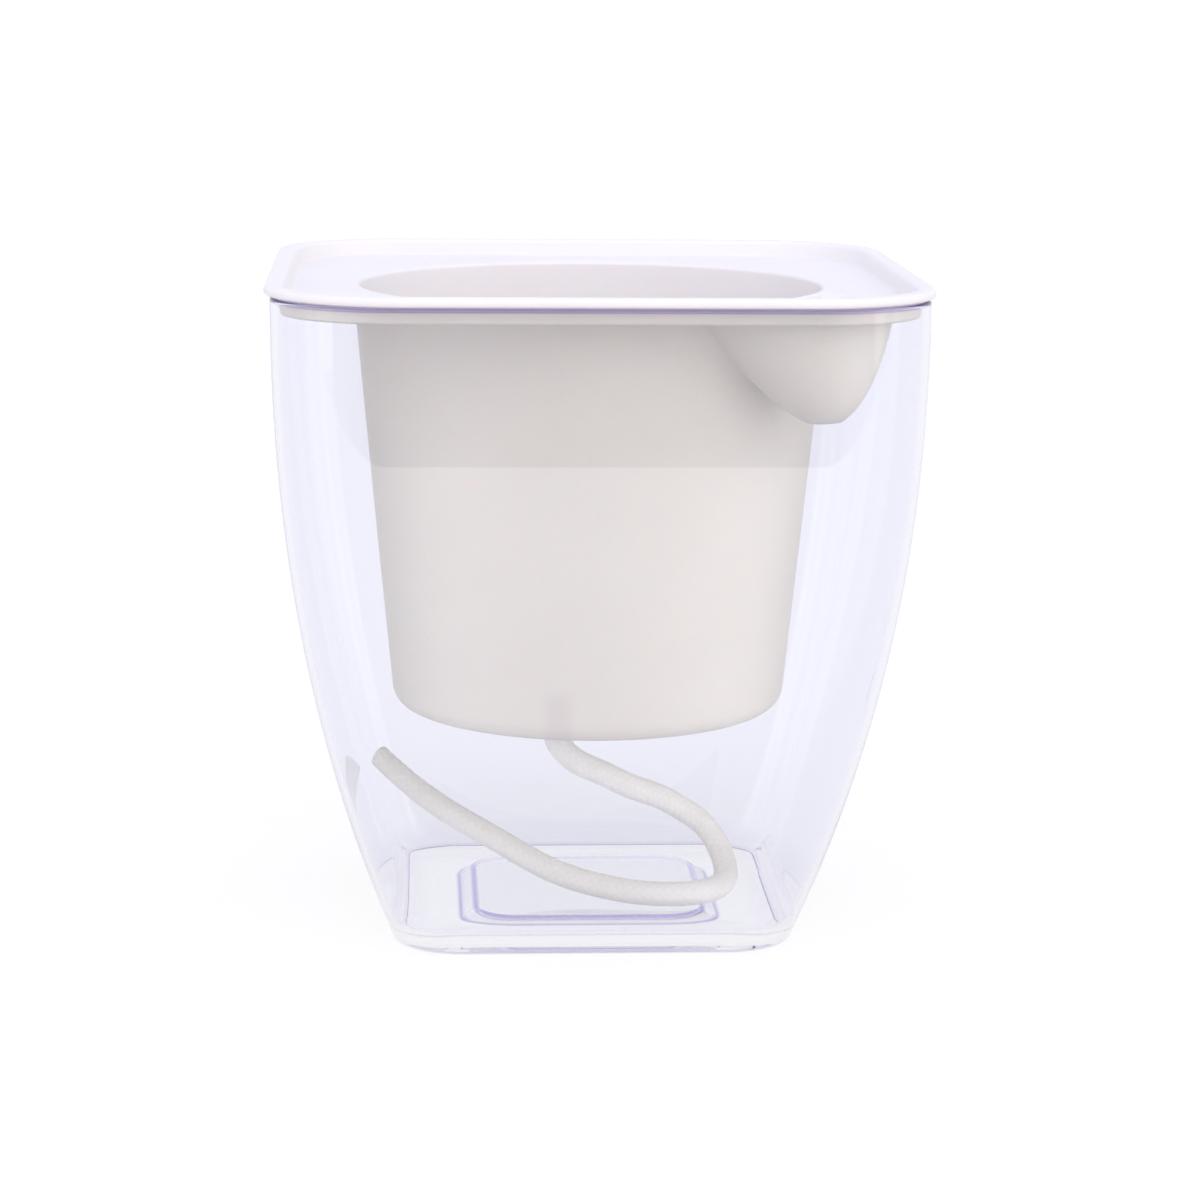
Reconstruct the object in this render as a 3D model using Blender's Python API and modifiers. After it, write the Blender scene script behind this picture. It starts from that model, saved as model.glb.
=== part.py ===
"""Self-watering pot: a clear square reservoir, an inner pot that hangs in it by a wide
flange, and a braided cotton wick that draws the water up into the soil.

Metres, +Z up. The origin is on the ground under the middle of the reservoir. The front is
-Y, and the funnel for filling the reservoir is in the front right corner (+X, -Y).
"""
import math

import bmesh
import bpy
import numpy as np
from mathutils import Matrix

# Space left between pieces that touch
TOUCH_GAP = 0.0003

# Clear reservoir: a square cup with round corners, whose sides bow out from base to rim
RESERVOIR_HEIGHT = 0.1571
RIM_WIDTH = 0.1520
BASE_WIDTH = 0.0960
RIM_CORNER_RADIUS = 0.0275
BASE_CORNER_RADIUS = 0.0166
SIDE_BOW = 2.13
RESERVOIR_WALL = 0.0016
RIM_ROUNDING = 0.0005
FOOT_ROUNDING = 0.0015
FLOOR_EDGE_ROUNDING = 0.0115
KICK_UP_WIDTH = 0.0620
KICK_UP_HEIGHT = 0.0026
KICK_UP_DRAFT = 0.0034
KICK_UP_CORNER_RADIUS = 0.0130

# Flange of the inner pot: a shallow square tray with a rounded lip that sits on the rim
LIP_OVERHANG = 0.0015
LIP_HEIGHT = 0.0022
LIP_WIDTH = 0.0046
LIP_ROUNDING = 0.0012
LIP_CORNER_GROWTH = 0.0045
TRAY_DEPTH = 0.0041
TRAY_FLOOR = 0.0022
TRAY_SIDE_DRAFT = 0.0010
PAN_CLEARANCE = 0.0007
PAN_EDGE_ROUNDING = 0.0008

# Round body of the inner pot, hanging below the flange
POT_TOP_RADIUS = 0.0580
POT_BOTTOM_RADIUS = 0.0485
POT_DEPTH = 0.1017
POT_WALL = 0.0018
POT_FLOOR = 0.0020
POT_FOOT_ROUNDING = 0.0050
MOUTH_ROUNDING = 0.0010

# Filling funnel: a bowl under the tray's front right corner, with a drain hole
FUNNEL_DEPTH = 0.0258
FUNNEL_TOP_RADIUS = 0.0234
FUNNEL_BELLY = 1.8
FUNNEL_WALL = 0.0018
FUNNEL_CORNER_MARGIN = 0.0072
FUNNEL_LEAN = 0.0098
FUNNEL_SIDE_WALL = 0.0014
DRAIN_RADIUS = 0.0040

# Wick: a bare cotton cord through the pot's floor, its tail lying in the reservoir
WICK_DIAMETER = 0.0060
WICK_HOLE_CLEARANCE = 0.0004
WICK_ROUTE = (
    (-0.0093, -0.0330, 0.0625),
    (-0.0093, -0.0330, 0.0570),
    (-0.0093, -0.0330, 0.0530),
    (-0.0092, -0.0330, 0.0505),
    (-0.0064, -0.0317, 0.0455),
    (0.0020, -0.0252, 0.0394),
    (0.0098, -0.0182, 0.0341),
    (0.0172, -0.0112, 0.0298),
    (0.0250, -0.0048, 0.0240),
    (0.0304, -0.0012, 0.0188),
    (0.0340, -0.0045, 0.0126),
    (0.0341, -0.0115, 0.0088),
    (0.0275, -0.0206, 0.0079),
    (0.0147, -0.0222, 0.0080),
    (0.0036, -0.0182, 0.0087),
    (-0.0087, -0.0112, 0.0109),
    (-0.0226, -0.0016, 0.0164),
    (-0.0361, 0.0054, 0.0229),
    (-0.0534, 0.0152, 0.0342),
)

# Colours and roughness of the two plastics and the cotton
CLEAR_COLOUR = (0.93, 0.93, 0.98)
CLEAR_ROUGHNESS = 0.04
CLEAR_IOR = 1.49
WHITE_COLOUR = (0.86, 0.83, 0.81)
WHITE_ROUGHNESS = 0.45
COTTON_COLOUR = (0.78, 0.75, 0.70)
COTTON_ROUGHNESS = 0.95

# Fineness of the round shapes
CORNER_STEPS = 9
WALL_STEPS = 14
WALL_STEP_GROWTH = 1.3
POT_STEPS = 72
FUNNEL_STEPS = 40
FUNNEL_PROFILE_STEPS = 9
ROUNDING_STEPS = 4
FLOOR_EDGE_STEPS = 7
HOLE_STEPS = 28
WICK_STEP = 2 * WICK_DIAMETER
WICK_BEVEL_RESOLUTION = 3
SMOOTH_ANGLE = math.radians(30.0)
WICK_SMOOTH_ANGLE = math.radians(50.0)
WELD_DISTANCE = 0.00001

# Heights and widths that follow from the sizes above
RIM_HALF = RIM_WIDTH / 2
BASE_HALF = BASE_WIDTH / 2
LIP_BOTTOM = RESERVOIR_HEIGHT + TOUCH_GAP
LIP_TOP = LIP_BOTTOM + LIP_HEIGHT
TRAY_TOP = LIP_TOP - TRAY_DEPTH
PAN_BOTTOM = TRAY_TOP - TRAY_FLOOR
POT_BOTTOM = PAN_BOTTOM - POT_DEPTH
FLANGE_HALF = RIM_HALF + LIP_OVERHANG
FLANGE_CORNER_RADIUS = RIM_CORNER_RADIUS + LIP_CORNER_GROWTH
PAN_INSET = RESERVOIR_WALL + PAN_CLEARANCE
PAN_HALF = RIM_HALF - PAN_INSET
PAN_CORNER_RADIUS = RIM_CORNER_RADIUS - PAN_INSET
PAN_CORNER_REACH = (PAN_HALF - PAN_CORNER_RADIUS) * math.sqrt(2) + PAN_CORNER_RADIUS
FUNNEL_TOP_REACH = PAN_CORNER_REACH - FUNNEL_CORNER_MARGIN - FUNNEL_TOP_RADIUS
FUNNEL_BOTTOM = PAN_BOTTOM - FUNNEL_DEPTH
MOUTH_RADIUS = POT_TOP_RADIUS - POT_WALL
CUT_MARGIN = 0.002
CUT_TOP = LIP_TOP + CUT_MARGIN
BODY_TOP = PAN_BOTTOM + TRAY_FLOOR * 0.5
BOWL_TOP = PAN_BOTTOM + TRAY_FLOOR * 0.6
FUNNEL_CUT_TOP = TRAY_TOP + 0.0004

# The diagonal that points from the pot's axis to the funnel's corner
FUNNEL_DIRECTION = (math.sqrt(0.5), -math.sqrt(0.5))


def clear_scene():
    """Remove every object that the scene holds."""
    for old in list(bpy.data.objects):
        bpy.data.objects.remove(old, do_unlink=True)


def new_collection(name):
    """Return a new collection linked to the scene."""
    collection = bpy.data.collections.new(name)
    bpy.context.scene.collection.children.link(collection)
    return collection


def plastic(name, colour, roughness, transmission=0.0, ior=1.5):
    """Return a Principled material."""
    material = bpy.data.materials.new(name)
    material.use_nodes = True
    material.diffuse_color = (*colour, 1.0)
    shader = material.node_tree.nodes["Principled BSDF"]
    shader.inputs["Base Color"].default_value = (*colour, 1.0)
    shader.inputs["Roughness"].default_value = roughness
    shader.inputs["Metallic"].default_value = 0.0
    shader.inputs["IOR"].default_value = ior
    shader.inputs["Transmission Weight"].default_value = transmission
    return material


def add_object(name, mesh, collection, material=None):
    """Link a mesh as a new object, with its material."""
    piece = bpy.data.objects.new(name, mesh)
    collection.objects.link(piece)
    if material is not None:
        piece.data.materials.append(material)
    return piece


def add_cutter(name, mesh, cutters):
    """Link a mesh as a helper that is drawn as wire and never rendered."""
    piece = add_object(name, mesh, cutters)
    piece.display_type = 'WIRE'
    piece.hide_render = True
    return piece


def smooth(mesh, angle=SMOOTH_ANGLE):
    """Shade a mesh smooth, with its corners kept sharp."""
    mesh.shade_smooth()
    mesh.set_sharp_from_angle(angle=angle)


def square_ring(half, corner_radius, height):
    """Points of a level square with round corners, anticlockwise seen from above."""
    centre = half - corner_radius
    ring = []
    for quarter in range(4):
        turn = quarter * math.pi / 2
        sign_x = 1 if quarter in (0, 3) else -1
        sign_y = 1 if quarter in (0, 1) else -1
        for step in range(CORNER_STEPS + 1):
            angle = turn + step / CORNER_STEPS * math.pi / 2
            ring.append((sign_x * centre + corner_radius * math.cos(angle),
                         sign_y * centre + corner_radius * math.sin(angle), height))
    return ring


def loft(name, rings):
    """Join rings of equal count by quads, and close the first and the last by a face.

    The rings run from the middle of the underside outwards and up, so the faces point out.
    """
    mesh = bpy.data.meshes.new(name)
    bm = bmesh.new()
    loops = [[bm.verts.new(point) for point in ring] for ring in rings]
    count = len(loops[0])
    for low, high in zip(loops, loops[1:]):
        for i in range(count):
            j = (i + 1) % count
            bm.faces.new((low[i], low[j], high[j], high[i]))
    bm.faces.new(list(reversed(loops[0])))
    bm.faces.new(loops[-1])
    bm.to_mesh(mesh)
    bm.free()
    return mesh


def turned(name, profile, steps, collection):
    """Turn a profile of (radius, height) points about Z, listed down its outer side."""
    mesh = bpy.data.meshes.new(name)
    mesh.from_pydata([(radius, 0.0, height) for radius, height in profile],
                     [(i, i + 1) for i in range(len(profile) - 1)], [])
    piece = add_cutter(name, mesh, collection)
    screw = piece.modifiers.new("turn", 'SCREW')
    screw.axis = 'Z'
    screw.steps = steps
    screw.render_steps = steps
    screw.use_merge_vertices = True
    screw.merge_threshold = WELD_DISTANCE
    screw.use_smooth_shade = True
    return piece


def frozen(piece, matrix=None):
    """Replace an object by the plain mesh that it evaluates to, moved by the matrix."""
    bpy.context.view_layer.update()
    evaluated = piece.evaluated_get(bpy.context.evaluated_depsgraph_get())
    mesh = bpy.data.meshes.new_from_object(evaluated)
    mesh.transform(piece.matrix_world)
    if matrix is not None:
        mesh.transform(matrix)
    name, collection = piece.name, piece.users_collection[0]
    bpy.data.objects.remove(piece, do_unlink=True)
    return add_cutter(name, mesh, collection)


def combine(piece, tool, operation):
    """Add a Boolean modifier that joins the tool to the piece or cuts it out."""
    modifier = piece.modifiers.new(tool.name, 'BOOLEAN')
    modifier.operation = operation
    modifier.solver = 'EXACT'
    modifier.object = tool


def cylinder(name, radius, low, high, centre, cutters, steps=HOLE_STEPS):
    """Return an upright cylinder between two heights, as a cutter."""
    mesh = bpy.data.meshes.new(name)
    bm = bmesh.new()
    bmesh.ops.create_cone(bm, cap_ends=True, segments=steps, radius1=radius,
                          radius2=radius, depth=high - low)
    bmesh.ops.translate(bm, verts=bm.verts, vec=(centre[0], centre[1], (low + high) / 2))
    bm.to_mesh(mesh)
    bm.free()
    return add_cutter(name, mesh, cutters)


def reservoir_section(height, inset=0.0):
    """Half width and corner radius of the reservoir at a height, set in square to its side."""
    share = height / RESERVOIR_HEIGHT
    growth = RIM_HALF - BASE_HALF
    slope = growth * SIDE_BOW / RESERVOIR_HEIGHT * (1 - share) ** (SIDE_BOW - 1)
    level_inset = inset * math.hypot(1.0, slope)
    half = RIM_HALF - growth * (1 - share) ** SIDE_BOW
    corner = BASE_CORNER_RADIUS + (RIM_CORNER_RADIUS - BASE_CORNER_RADIUS) * share
    return half - level_inset, corner - level_inset


def foot_arc(inset, floor, radius, steps):
    """Rings of the rounding between a level floor and the leaning side, going outwards.

    The rounding's centre is one radius above the floor and one radius inside the side.
    """
    slope = (RIM_HALF - BASE_HALF) * SIDE_BOW / RESERVOIR_HEIGHT
    lean = math.atan(slope)
    half, corner = reservoir_section(floor, inset)
    middle = half - radius * (1 / math.cos(lean) - math.tan(lean))
    rings = []
    for step in range(steps + 1):
        turn = (math.pi / 2 - lean) * step / steps
        place = middle + radius * math.sin(turn)
        rings.append(square_ring(place, corner + place - half,
                                 floor + radius * (1 - math.cos(turn))))
    return rings


def side_rings(inset, lowest, highest):
    """Rings up the reservoir's side between two heights, closer together near the base."""
    rings = []
    for step in range(1, WALL_STEPS + 1):
        height = lowest + (highest - lowest) * (step / WALL_STEPS) ** WALL_STEP_GROWTH
        rings.append(square_ring(*reservoir_section(height, inset), height))
    return rings


def build_reservoir(parts, material):
    """Clear outer container, open at the top, with a kick-up in the middle of its base.

    One closed skin: from under the kick-up out to the foot, up the side, over the rim, down
    the inside and across the floor to the top of the kick-up.
    """
    kick_half = KICK_UP_WIDTH / 2
    kick_top = kick_half - KICK_UP_DRAFT
    shoulder = RESERVOIR_HEIGHT - RIM_ROUNDING
    rings = [square_ring(kick_top, KICK_UP_CORNER_RADIUS - KICK_UP_DRAFT, KICK_UP_HEIGHT),
             square_ring(kick_half, KICK_UP_CORNER_RADIUS, 0.0)]
    rings += foot_arc(0.0, 0.0, FOOT_ROUNDING, ROUNDING_STEPS)
    rings += side_rings(0.0, FOOT_ROUNDING, shoulder)
    inner_half = RIM_HALF - RESERVOIR_WALL
    rim = rounding(RIM_HALF - RIM_ROUNDING, shoulder, RIM_ROUNDING, 0, math.pi / 2)[1:]
    rim += rounding(inner_half + RIM_ROUNDING, shoulder, RIM_ROUNDING,
                    math.pi / 2, math.pi)[:-1]
    rings += [square_ring(half, RIM_CORNER_RADIUS + half - RIM_HALF, z) for half, z in rim]
    inside = foot_arc(RESERVOIR_WALL, RESERVOIR_WALL, FLOOR_EDGE_ROUNDING, FLOOR_EDGE_STEPS)
    inside += side_rings(RESERVOIR_WALL, RESERVOIR_WALL + FLOOR_EDGE_ROUNDING, shoulder)
    rings += reversed(inside)
    kick_wall = RESERVOIR_WALL * (math.hypot(KICK_UP_HEIGHT, KICK_UP_DRAFT)
                                  - KICK_UP_DRAFT) / KICK_UP_HEIGHT
    rings.append(square_ring(kick_half + kick_wall, KICK_UP_CORNER_RADIUS + kick_wall,
                             RESERVOIR_WALL))
    rings.append(square_ring(kick_top + kick_wall,
                             KICK_UP_CORNER_RADIUS - KICK_UP_DRAFT + kick_wall,
                             KICK_UP_HEIGHT + RESERVOIR_WALL))
    mesh = loft("reservoir", rings)
    smooth(mesh)
    return add_object("reservoir", mesh, parts, material)


def rounding(half, height, radius, start, end):
    """Points (half width, height) of a rounding about a centre, from one angle to another."""
    angles = [start + (end - start) * i / ROUNDING_STEPS for i in range(ROUNDING_STEPS + 1)]
    return [(half + radius * math.cos(a), height + radius * math.sin(a)) for a in angles]


def flange_mesh():
    """Square tray with its lip: the outline goes out under the lip, over it and down inside."""
    quarter = math.pi / 2
    side_top = FLANGE_HALF - LIP_WIDTH
    outline = rounding(PAN_HALF - PAN_EDGE_ROUNDING, PAN_BOTTOM + PAN_EDGE_ROUNDING,
                       PAN_EDGE_ROUNDING, -quarter, 0)
    rings = [square_ring(half, PAN_CORNER_RADIUS + half - PAN_HALF, z) for half, z in outline]
    rings.append(square_ring(PAN_HALF, PAN_CORNER_RADIUS, LIP_BOTTOM))
    lip = [(FLANGE_HALF - PAN_EDGE_ROUNDING, LIP_BOTTOM),
           (FLANGE_HALF, LIP_BOTTOM + PAN_EDGE_ROUNDING)]
    lip += rounding(FLANGE_HALF - LIP_ROUNDING, LIP_TOP - LIP_ROUNDING, LIP_ROUNDING, 0, quarter)
    lip += rounding(side_top + LIP_ROUNDING, LIP_TOP - LIP_ROUNDING, LIP_ROUNDING,
                    quarter, 2 * quarter)
    lip += rounding(side_top - TRAY_SIDE_DRAFT - PAN_EDGE_ROUNDING,
                    TRAY_TOP + PAN_EDGE_ROUNDING, PAN_EDGE_ROUNDING, 0, -quarter)
    rings += [square_ring(half, FLANGE_CORNER_RADIUS + half - FLANGE_HALF, z) for half, z in lip]
    return loft("inner_pot", rings)


def pot_profile(radius_top, radius_bottom, top, bottom, foot):
    """Outline of a tapered cup with a rounded foot, from its top edge down to its axis."""
    profile = [(0.0, top), (radius_top, top)]
    for point in rounding(radius_bottom - foot, bottom + foot, foot, 0, -math.pi / 2):
        profile.append(point)
    profile.append((0.0, bottom))
    return profile


def pot_taper(height):
    """Outer radius of the pot's wall, carried on in a straight line to any height."""
    slope = (POT_TOP_RADIUS - POT_BOTTOM_RADIUS) / POT_DEPTH
    return POT_TOP_RADIUS + (height - PAN_BOTTOM) * slope


def pot_solids(cutters):
    """Outer form of the round body, and the hollow with the rounded edge of its mouth."""
    body = turned("pot_body_form",
                  pot_profile(pot_taper(BODY_TOP), POT_BOTTOM_RADIUS, BODY_TOP, POT_BOTTOM,
                              POT_FOOT_ROUNDING), POT_STEPS, cutters)
    edge = TRAY_TOP - MOUTH_ROUNDING
    profile = [(0.0, CUT_TOP), (MOUTH_RADIUS + MOUTH_ROUNDING, CUT_TOP)]
    profile += rounding(MOUTH_RADIUS + MOUTH_ROUNDING, edge, MOUTH_ROUNDING,
                        math.pi / 2, math.pi)
    inner_foot = POT_FOOT_ROUNDING - POT_WALL
    profile += pot_profile(0.0, POT_BOTTOM_RADIUS - POT_WALL, edge, POT_BOTTOM + POT_FLOOR,
                           inner_foot)[2:]
    hollow = turned("pot_hollow", profile, POT_STEPS, cutters)
    return body, hollow


def funnel_lean():
    """Matrix that leans the bowl: its bottom lies further out along the diagonal."""
    share = FUNNEL_LEAN / FUNNEL_DEPTH
    lean = Matrix.Identity(4)
    lean[0][2] = -share * FUNNEL_DIRECTION[0]
    lean[1][2] = -share * FUNNEL_DIRECTION[1]
    place = Matrix.Translation((FUNNEL_TOP_REACH * FUNNEL_DIRECTION[0],
                                FUNNEL_TOP_REACH * FUNNEL_DIRECTION[1], PAN_BOTTOM))
    return place @ lean


def funnel_profile(inset, above):
    """Outline of the bowl about its own axis, heights measured from the pan's underside.

    The outside's height grows with a power of its radius, the belly: 1 would be a cone and
    2 a parabola. The inside is the same curve set in by the wall along its normal.
    """
    profile = []
    for step in range(FUNNEL_PROFILE_STEPS + 1):
        share = step / FUNNEL_PROFILE_STEPS
        steepness = FUNNEL_BELLY * FUNNEL_DEPTH / FUNNEL_TOP_RADIUS * share ** (FUNNEL_BELLY - 1)
        slant = math.hypot(1.0, steepness)
        profile.append((FUNNEL_TOP_RADIUS * share - inset * steepness / slant,
                        FUNNEL_DEPTH * (share ** FUNNEL_BELLY - 1) + inset / slant))
    top_radius, top = profile[-1]
    profile.append((top_radius + (above - top) / steepness, above))
    profile.append((0.0, above))
    profile.reverse()
    return profile


def funnel_solids(cutters):
    """Outer bowl of the filling funnel, its hollow and the hole in its bottom."""
    lean = funnel_lean()
    bowl = frozen(turned("funnel_form", funnel_profile(0.0, BOWL_TOP - PAN_BOTTOM),
                         FUNNEL_STEPS, cutters), lean)
    hollow = frozen(turned("funnel_hollow",
                           funnel_profile(FUNNEL_WALL, FUNNEL_CUT_TOP - PAN_BOTTOM),
                           FUNNEL_STEPS, cutters), lean)
    side = cylinder("funnel_side", MOUTH_RADIUS + MOUTH_ROUNDING + FUNNEL_SIDE_WALL,
                    FUNNEL_BOTTOM - CUT_MARGIN, CUT_TOP, (0.0, 0.0), cutters, POT_STEPS)
    combine(hollow, side, 'DIFFERENCE')
    bottom_reach = FUNNEL_TOP_REACH + FUNNEL_LEAN
    drain = cylinder("drain_hole", DRAIN_RADIUS, FUNNEL_BOTTOM - CUT_MARGIN,
                     FUNNEL_BOTTOM + FUNNEL_WALL + DRAIN_RADIUS,
                     (bottom_reach * FUNNEL_DIRECTION[0], bottom_reach * FUNNEL_DIRECTION[1]),
                     cutters)
    return bowl, hollow, drain


def build_inner_pot(parts, cutters, material):
    """Inner pot in one moulding: flange, round body, filling funnel and wick hole."""
    mesh = flange_mesh()
    smooth(mesh)
    piece = add_object("inner_pot", mesh, parts, material)
    body, pot_hollow = pot_solids(cutters)
    bowl, funnel_hollow, drain = funnel_solids(cutters)
    hole_radius = WICK_DIAMETER / 2 + WICK_HOLE_CLEARANCE
    wick_hole = cylinder("wick_hole", hole_radius, POT_BOTTOM - CUT_MARGIN,
                         POT_BOTTOM + POT_FLOOR + CUT_MARGIN, WICK_ROUTE[0], cutters)
    combine(piece, body, 'UNION')
    combine(piece, bowl, 'UNION')
    combine(piece, pot_hollow, 'DIFFERENCE')
    combine(piece, funnel_hollow, 'DIFFERENCE')
    combine(piece, drain, 'DIFFERENCE')
    combine(piece, wick_hole, 'DIFFERENCE')
    return piece


def curve_through(points, spacing):
    """Natural cubic spline through the points, read at even lengths.

    The spline's second derivatives solve the usual three-term system over the chords.
    """
    points = np.array(points)
    knots = np.concatenate(([0.0], np.cumsum(np.linalg.norm(np.diff(points, axis=0), axis=1))))
    chords = np.diff(knots)
    slopes = np.diff(points, axis=0) / chords[:, None]
    system = np.eye(len(knots))
    known = np.zeros_like(points)
    for i in range(1, len(knots) - 1):
        system[i, i - 1:i + 2] = chords[i - 1], 2 * (chords[i - 1] + chords[i]), chords[i]
        known[i] = 6 * (slopes[i] - slopes[i - 1])
    bend = np.linalg.solve(system, known)
    fine = np.linspace(0.0, knots[-1], 2000)
    i = np.clip(np.searchsorted(knots, fine, side='right') - 1, 0, len(chords) - 1)
    h = chords[i][:, None]
    after = (fine - knots[i])[:, None]
    before = h - after
    curve = ((bend[i] * before ** 3 + bend[i + 1] * after ** 3) / (6 * h)
             + (points[i] / h - bend[i] * h / 6) * before
             + (points[i + 1] / h - bend[i + 1] * h / 6) * after)
    travelled = np.concatenate(([0.0], np.cumsum(np.linalg.norm(np.diff(curve, axis=0), axis=1))))
    count = round(travelled[-1] / spacing) + 1
    even = np.linspace(0.0, travelled[-1], count)
    return np.stack([np.interp(even, travelled, curve[:, axis]) for axis in range(3)], axis=1)


def build_wick(parts, cutters, material):
    """Cotton wick as a plain round cord along its route, its ends capped."""
    route = curve_through(WICK_ROUTE, WICK_STEP)
    curve = bpy.data.curves.new("wick_path", 'CURVE')
    curve.dimensions = '3D'
    curve.bevel_depth = WICK_DIAMETER / 2
    curve.bevel_resolution = WICK_BEVEL_RESOLUTION
    curve.use_fill_caps = True
    spline = curve.splines.new('POLY')
    spline.points.add(len(route) - 1)
    for point, place in zip(spline.points, route):
        point.co = (*place, 1.0)
    guide = bpy.data.objects.new("wick_path", curve)
    cutters.objects.link(guide)
    bpy.context.view_layer.update()
    evaluated = guide.evaluated_get(bpy.context.evaluated_depsgraph_get())
    mesh = bpy.data.meshes.new_from_object(evaluated)
    mesh.name = "wick"
    mesh.transform(guide.matrix_world)
    bpy.data.objects.remove(guide, do_unlink=True)
    bm = bmesh.new()
    bm.from_mesh(mesh)
    bmesh.ops.remove_doubles(bm, verts=bm.verts, dist=WELD_DISTANCE)
    bm.to_mesh(mesh)
    bm.free()
    mesh.materials.clear()
    smooth(mesh, WICK_SMOOTH_ANGLE)
    return add_object("wick", mesh, parts, material)


def main():
    """Build the three pieces of the self-watering pot."""
    clear_scene()
    parts = new_collection("self_watering_pot")
    cutters = new_collection("cutters")
    clear = plastic("clear_plastic", CLEAR_COLOUR, CLEAR_ROUGHNESS, 1.0, CLEAR_IOR)
    white = plastic("white_plastic", WHITE_COLOUR, WHITE_ROUGHNESS)
    cotton = plastic("cotton", COTTON_COLOUR, COTTON_ROUGHNESS)
    build_reservoir(parts, clear)
    build_inner_pot(parts, cutters, white)
    build_wick(parts, cutters, cotton)


main()
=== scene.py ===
"""Self-watering pot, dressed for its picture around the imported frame.

The clear square reservoir, the white inner pot that hangs in it by a wide flange and the
braided cotton wick are each one closed surface, worked out as whole arrays. Metres, +Z up,
the front is -Y and the filling funnel is in the front right corner (+X, -Y).
"""
import logging
import math
from dataclasses import dataclass
from enum import Enum

import bpy
import numpy as np
from mathutils import Matrix, Vector


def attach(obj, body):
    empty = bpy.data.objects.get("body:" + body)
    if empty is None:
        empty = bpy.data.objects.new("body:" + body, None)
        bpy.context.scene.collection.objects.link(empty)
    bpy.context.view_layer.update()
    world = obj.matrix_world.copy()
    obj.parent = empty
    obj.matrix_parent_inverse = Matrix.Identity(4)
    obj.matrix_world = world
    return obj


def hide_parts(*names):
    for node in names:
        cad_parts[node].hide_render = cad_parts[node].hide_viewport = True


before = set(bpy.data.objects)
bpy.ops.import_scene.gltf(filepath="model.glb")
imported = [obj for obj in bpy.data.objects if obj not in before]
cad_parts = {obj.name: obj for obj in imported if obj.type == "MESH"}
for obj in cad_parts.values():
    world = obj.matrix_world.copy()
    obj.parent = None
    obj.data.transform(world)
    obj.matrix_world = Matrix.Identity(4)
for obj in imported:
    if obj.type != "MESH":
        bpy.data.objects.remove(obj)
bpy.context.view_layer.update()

LOG = logging.getLogger("self_watering_pot")
Colour = tuple[float, float, float]
Point = tuple[float, float, float]
Line = tuple[tuple[float, float], tuple[float, float]]
QUARTER = math.pi / 2
OCTANT = math.pi / 4
SPLINE_PLACES = 8000
TURN_PLACES = 7201


class Body(Enum):
    """Bodies of the frame that the pieces ride on."""

    RESERVOIR = "reservoir"
    POT = "pot"


class Slot(Enum):
    """Material slots of the record, whose names the pieces' own materials share."""

    CLEAR = "clear_plastic"
    WHITE = "white_plastic"
    COTTON = "cotton"


class Ends(Enum):
    """How the first and the last ring of a skin are closed."""

    POLES = "poles"
    JOINED = "joined"


# Shapes worked out as arrays


def skin(name: str, rings: np.ndarray, ends: Ends, poles: np.ndarray | None = None,
         uv: tuple[np.ndarray, np.ndarray] | None = None) -> bpy.types.Object:
    """Make one closed surface of quads from rings of points.

    The point at (ring, place) is joined to its neighbours in the ring and to the same place
    in the next ring. The rings run so that place by ring points out of the material.

    Args:
        name: Name of the new object.
        rings: Points as (ring, place, xyz).
        ends: Whether the ends close at poles or the last ring joins the first.
        poles: The two end points, for ends that close at poles.
        uv: Distance around at each place and one more, and distance along at each ring.

    Returns:
        The object, linked to the scene, at the origin.
    """
    count, around = rings.shape[:2]
    joined = ends is Ends.JOINED
    ring = np.arange(count if joined else count - 1)[:, None]
    place = np.arange(around)[None, :]
    after, above = (place + 1) % around, (ring + 1) % count
    quads = np.stack([ring * around + place, ring * around + after,
                      above * around + after, above * around + place], axis=-1).reshape(-1, 4)
    points = rings.reshape(-1, 3)
    faces = quads.tolist()
    if not joined:
        points = np.concatenate([points, poles])
        first, last = len(points) - 2, len(points) - 1
        near, far = place[0], (count - 1) * around + place[0]
        faces += np.stack([np.full(around, first), after[0], near], axis=1).tolist()
        faces += np.stack([np.full(around, last), far,
                           (count - 1) * around + after[0]], axis=1).tolist()
    mesh = bpy.data.meshes.new(name)
    mesh.from_pydata(points.tolist(), [], faces)
    if uv is not None:
        across, along = uv
        u = np.stack(np.broadcast_arrays(across[place], across[place + 1], across[place + 1],
                                         across[place]), axis=-1)
        u = np.broadcast_to(u, (len(ring), around, 4))
        low, high = along[ring], along[ring + 1]
        v = np.broadcast_to(np.stack([low, low, high, high], axis=-1), (len(ring), around, 4))
        flat = np.stack([u, v], axis=-1).reshape(-1, 2)
        middle = (across[place[0]] + across[place[0] + 1]) / 2
        start, end = np.full(around, along[0]), np.full(around, along[-1])
        left, right = across[place[0]], across[place[0] + 1]
        caps = np.concatenate([
            np.stack([middle, start, right, start, left, start], axis=1).reshape(-1, 2),
            np.stack([middle, end, left, end, right, end], axis=1).reshape(-1, 2)])
        layer = mesh.uv_layers.new(name="lay")
        layer.data.foreach_set("uv", np.concatenate([flat, caps]).ravel())
    mesh.validate()
    return place_mesh(name, mesh)


def place_mesh(name: str, mesh: bpy.types.Mesh) -> bpy.types.Object:
    """Link a mesh to the scene as an object at the origin.

    Args:
        name: Name of the new object.
        mesh: Its mesh, whose points are already in their place.

    Returns:
        The object.
    """
    piece = bpy.data.objects.new(name, mesh)
    bpy.context.scene.collection.objects.link(piece)
    return piece


def smooth(piece: bpy.types.Object, angle: float) -> None:
    """Shade a piece smooth, keeping edges sharper than the angle (radians) crisp."""
    piece.data.shade_smooth()
    piece.data.set_sharp_from_angle(angle=angle)


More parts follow.
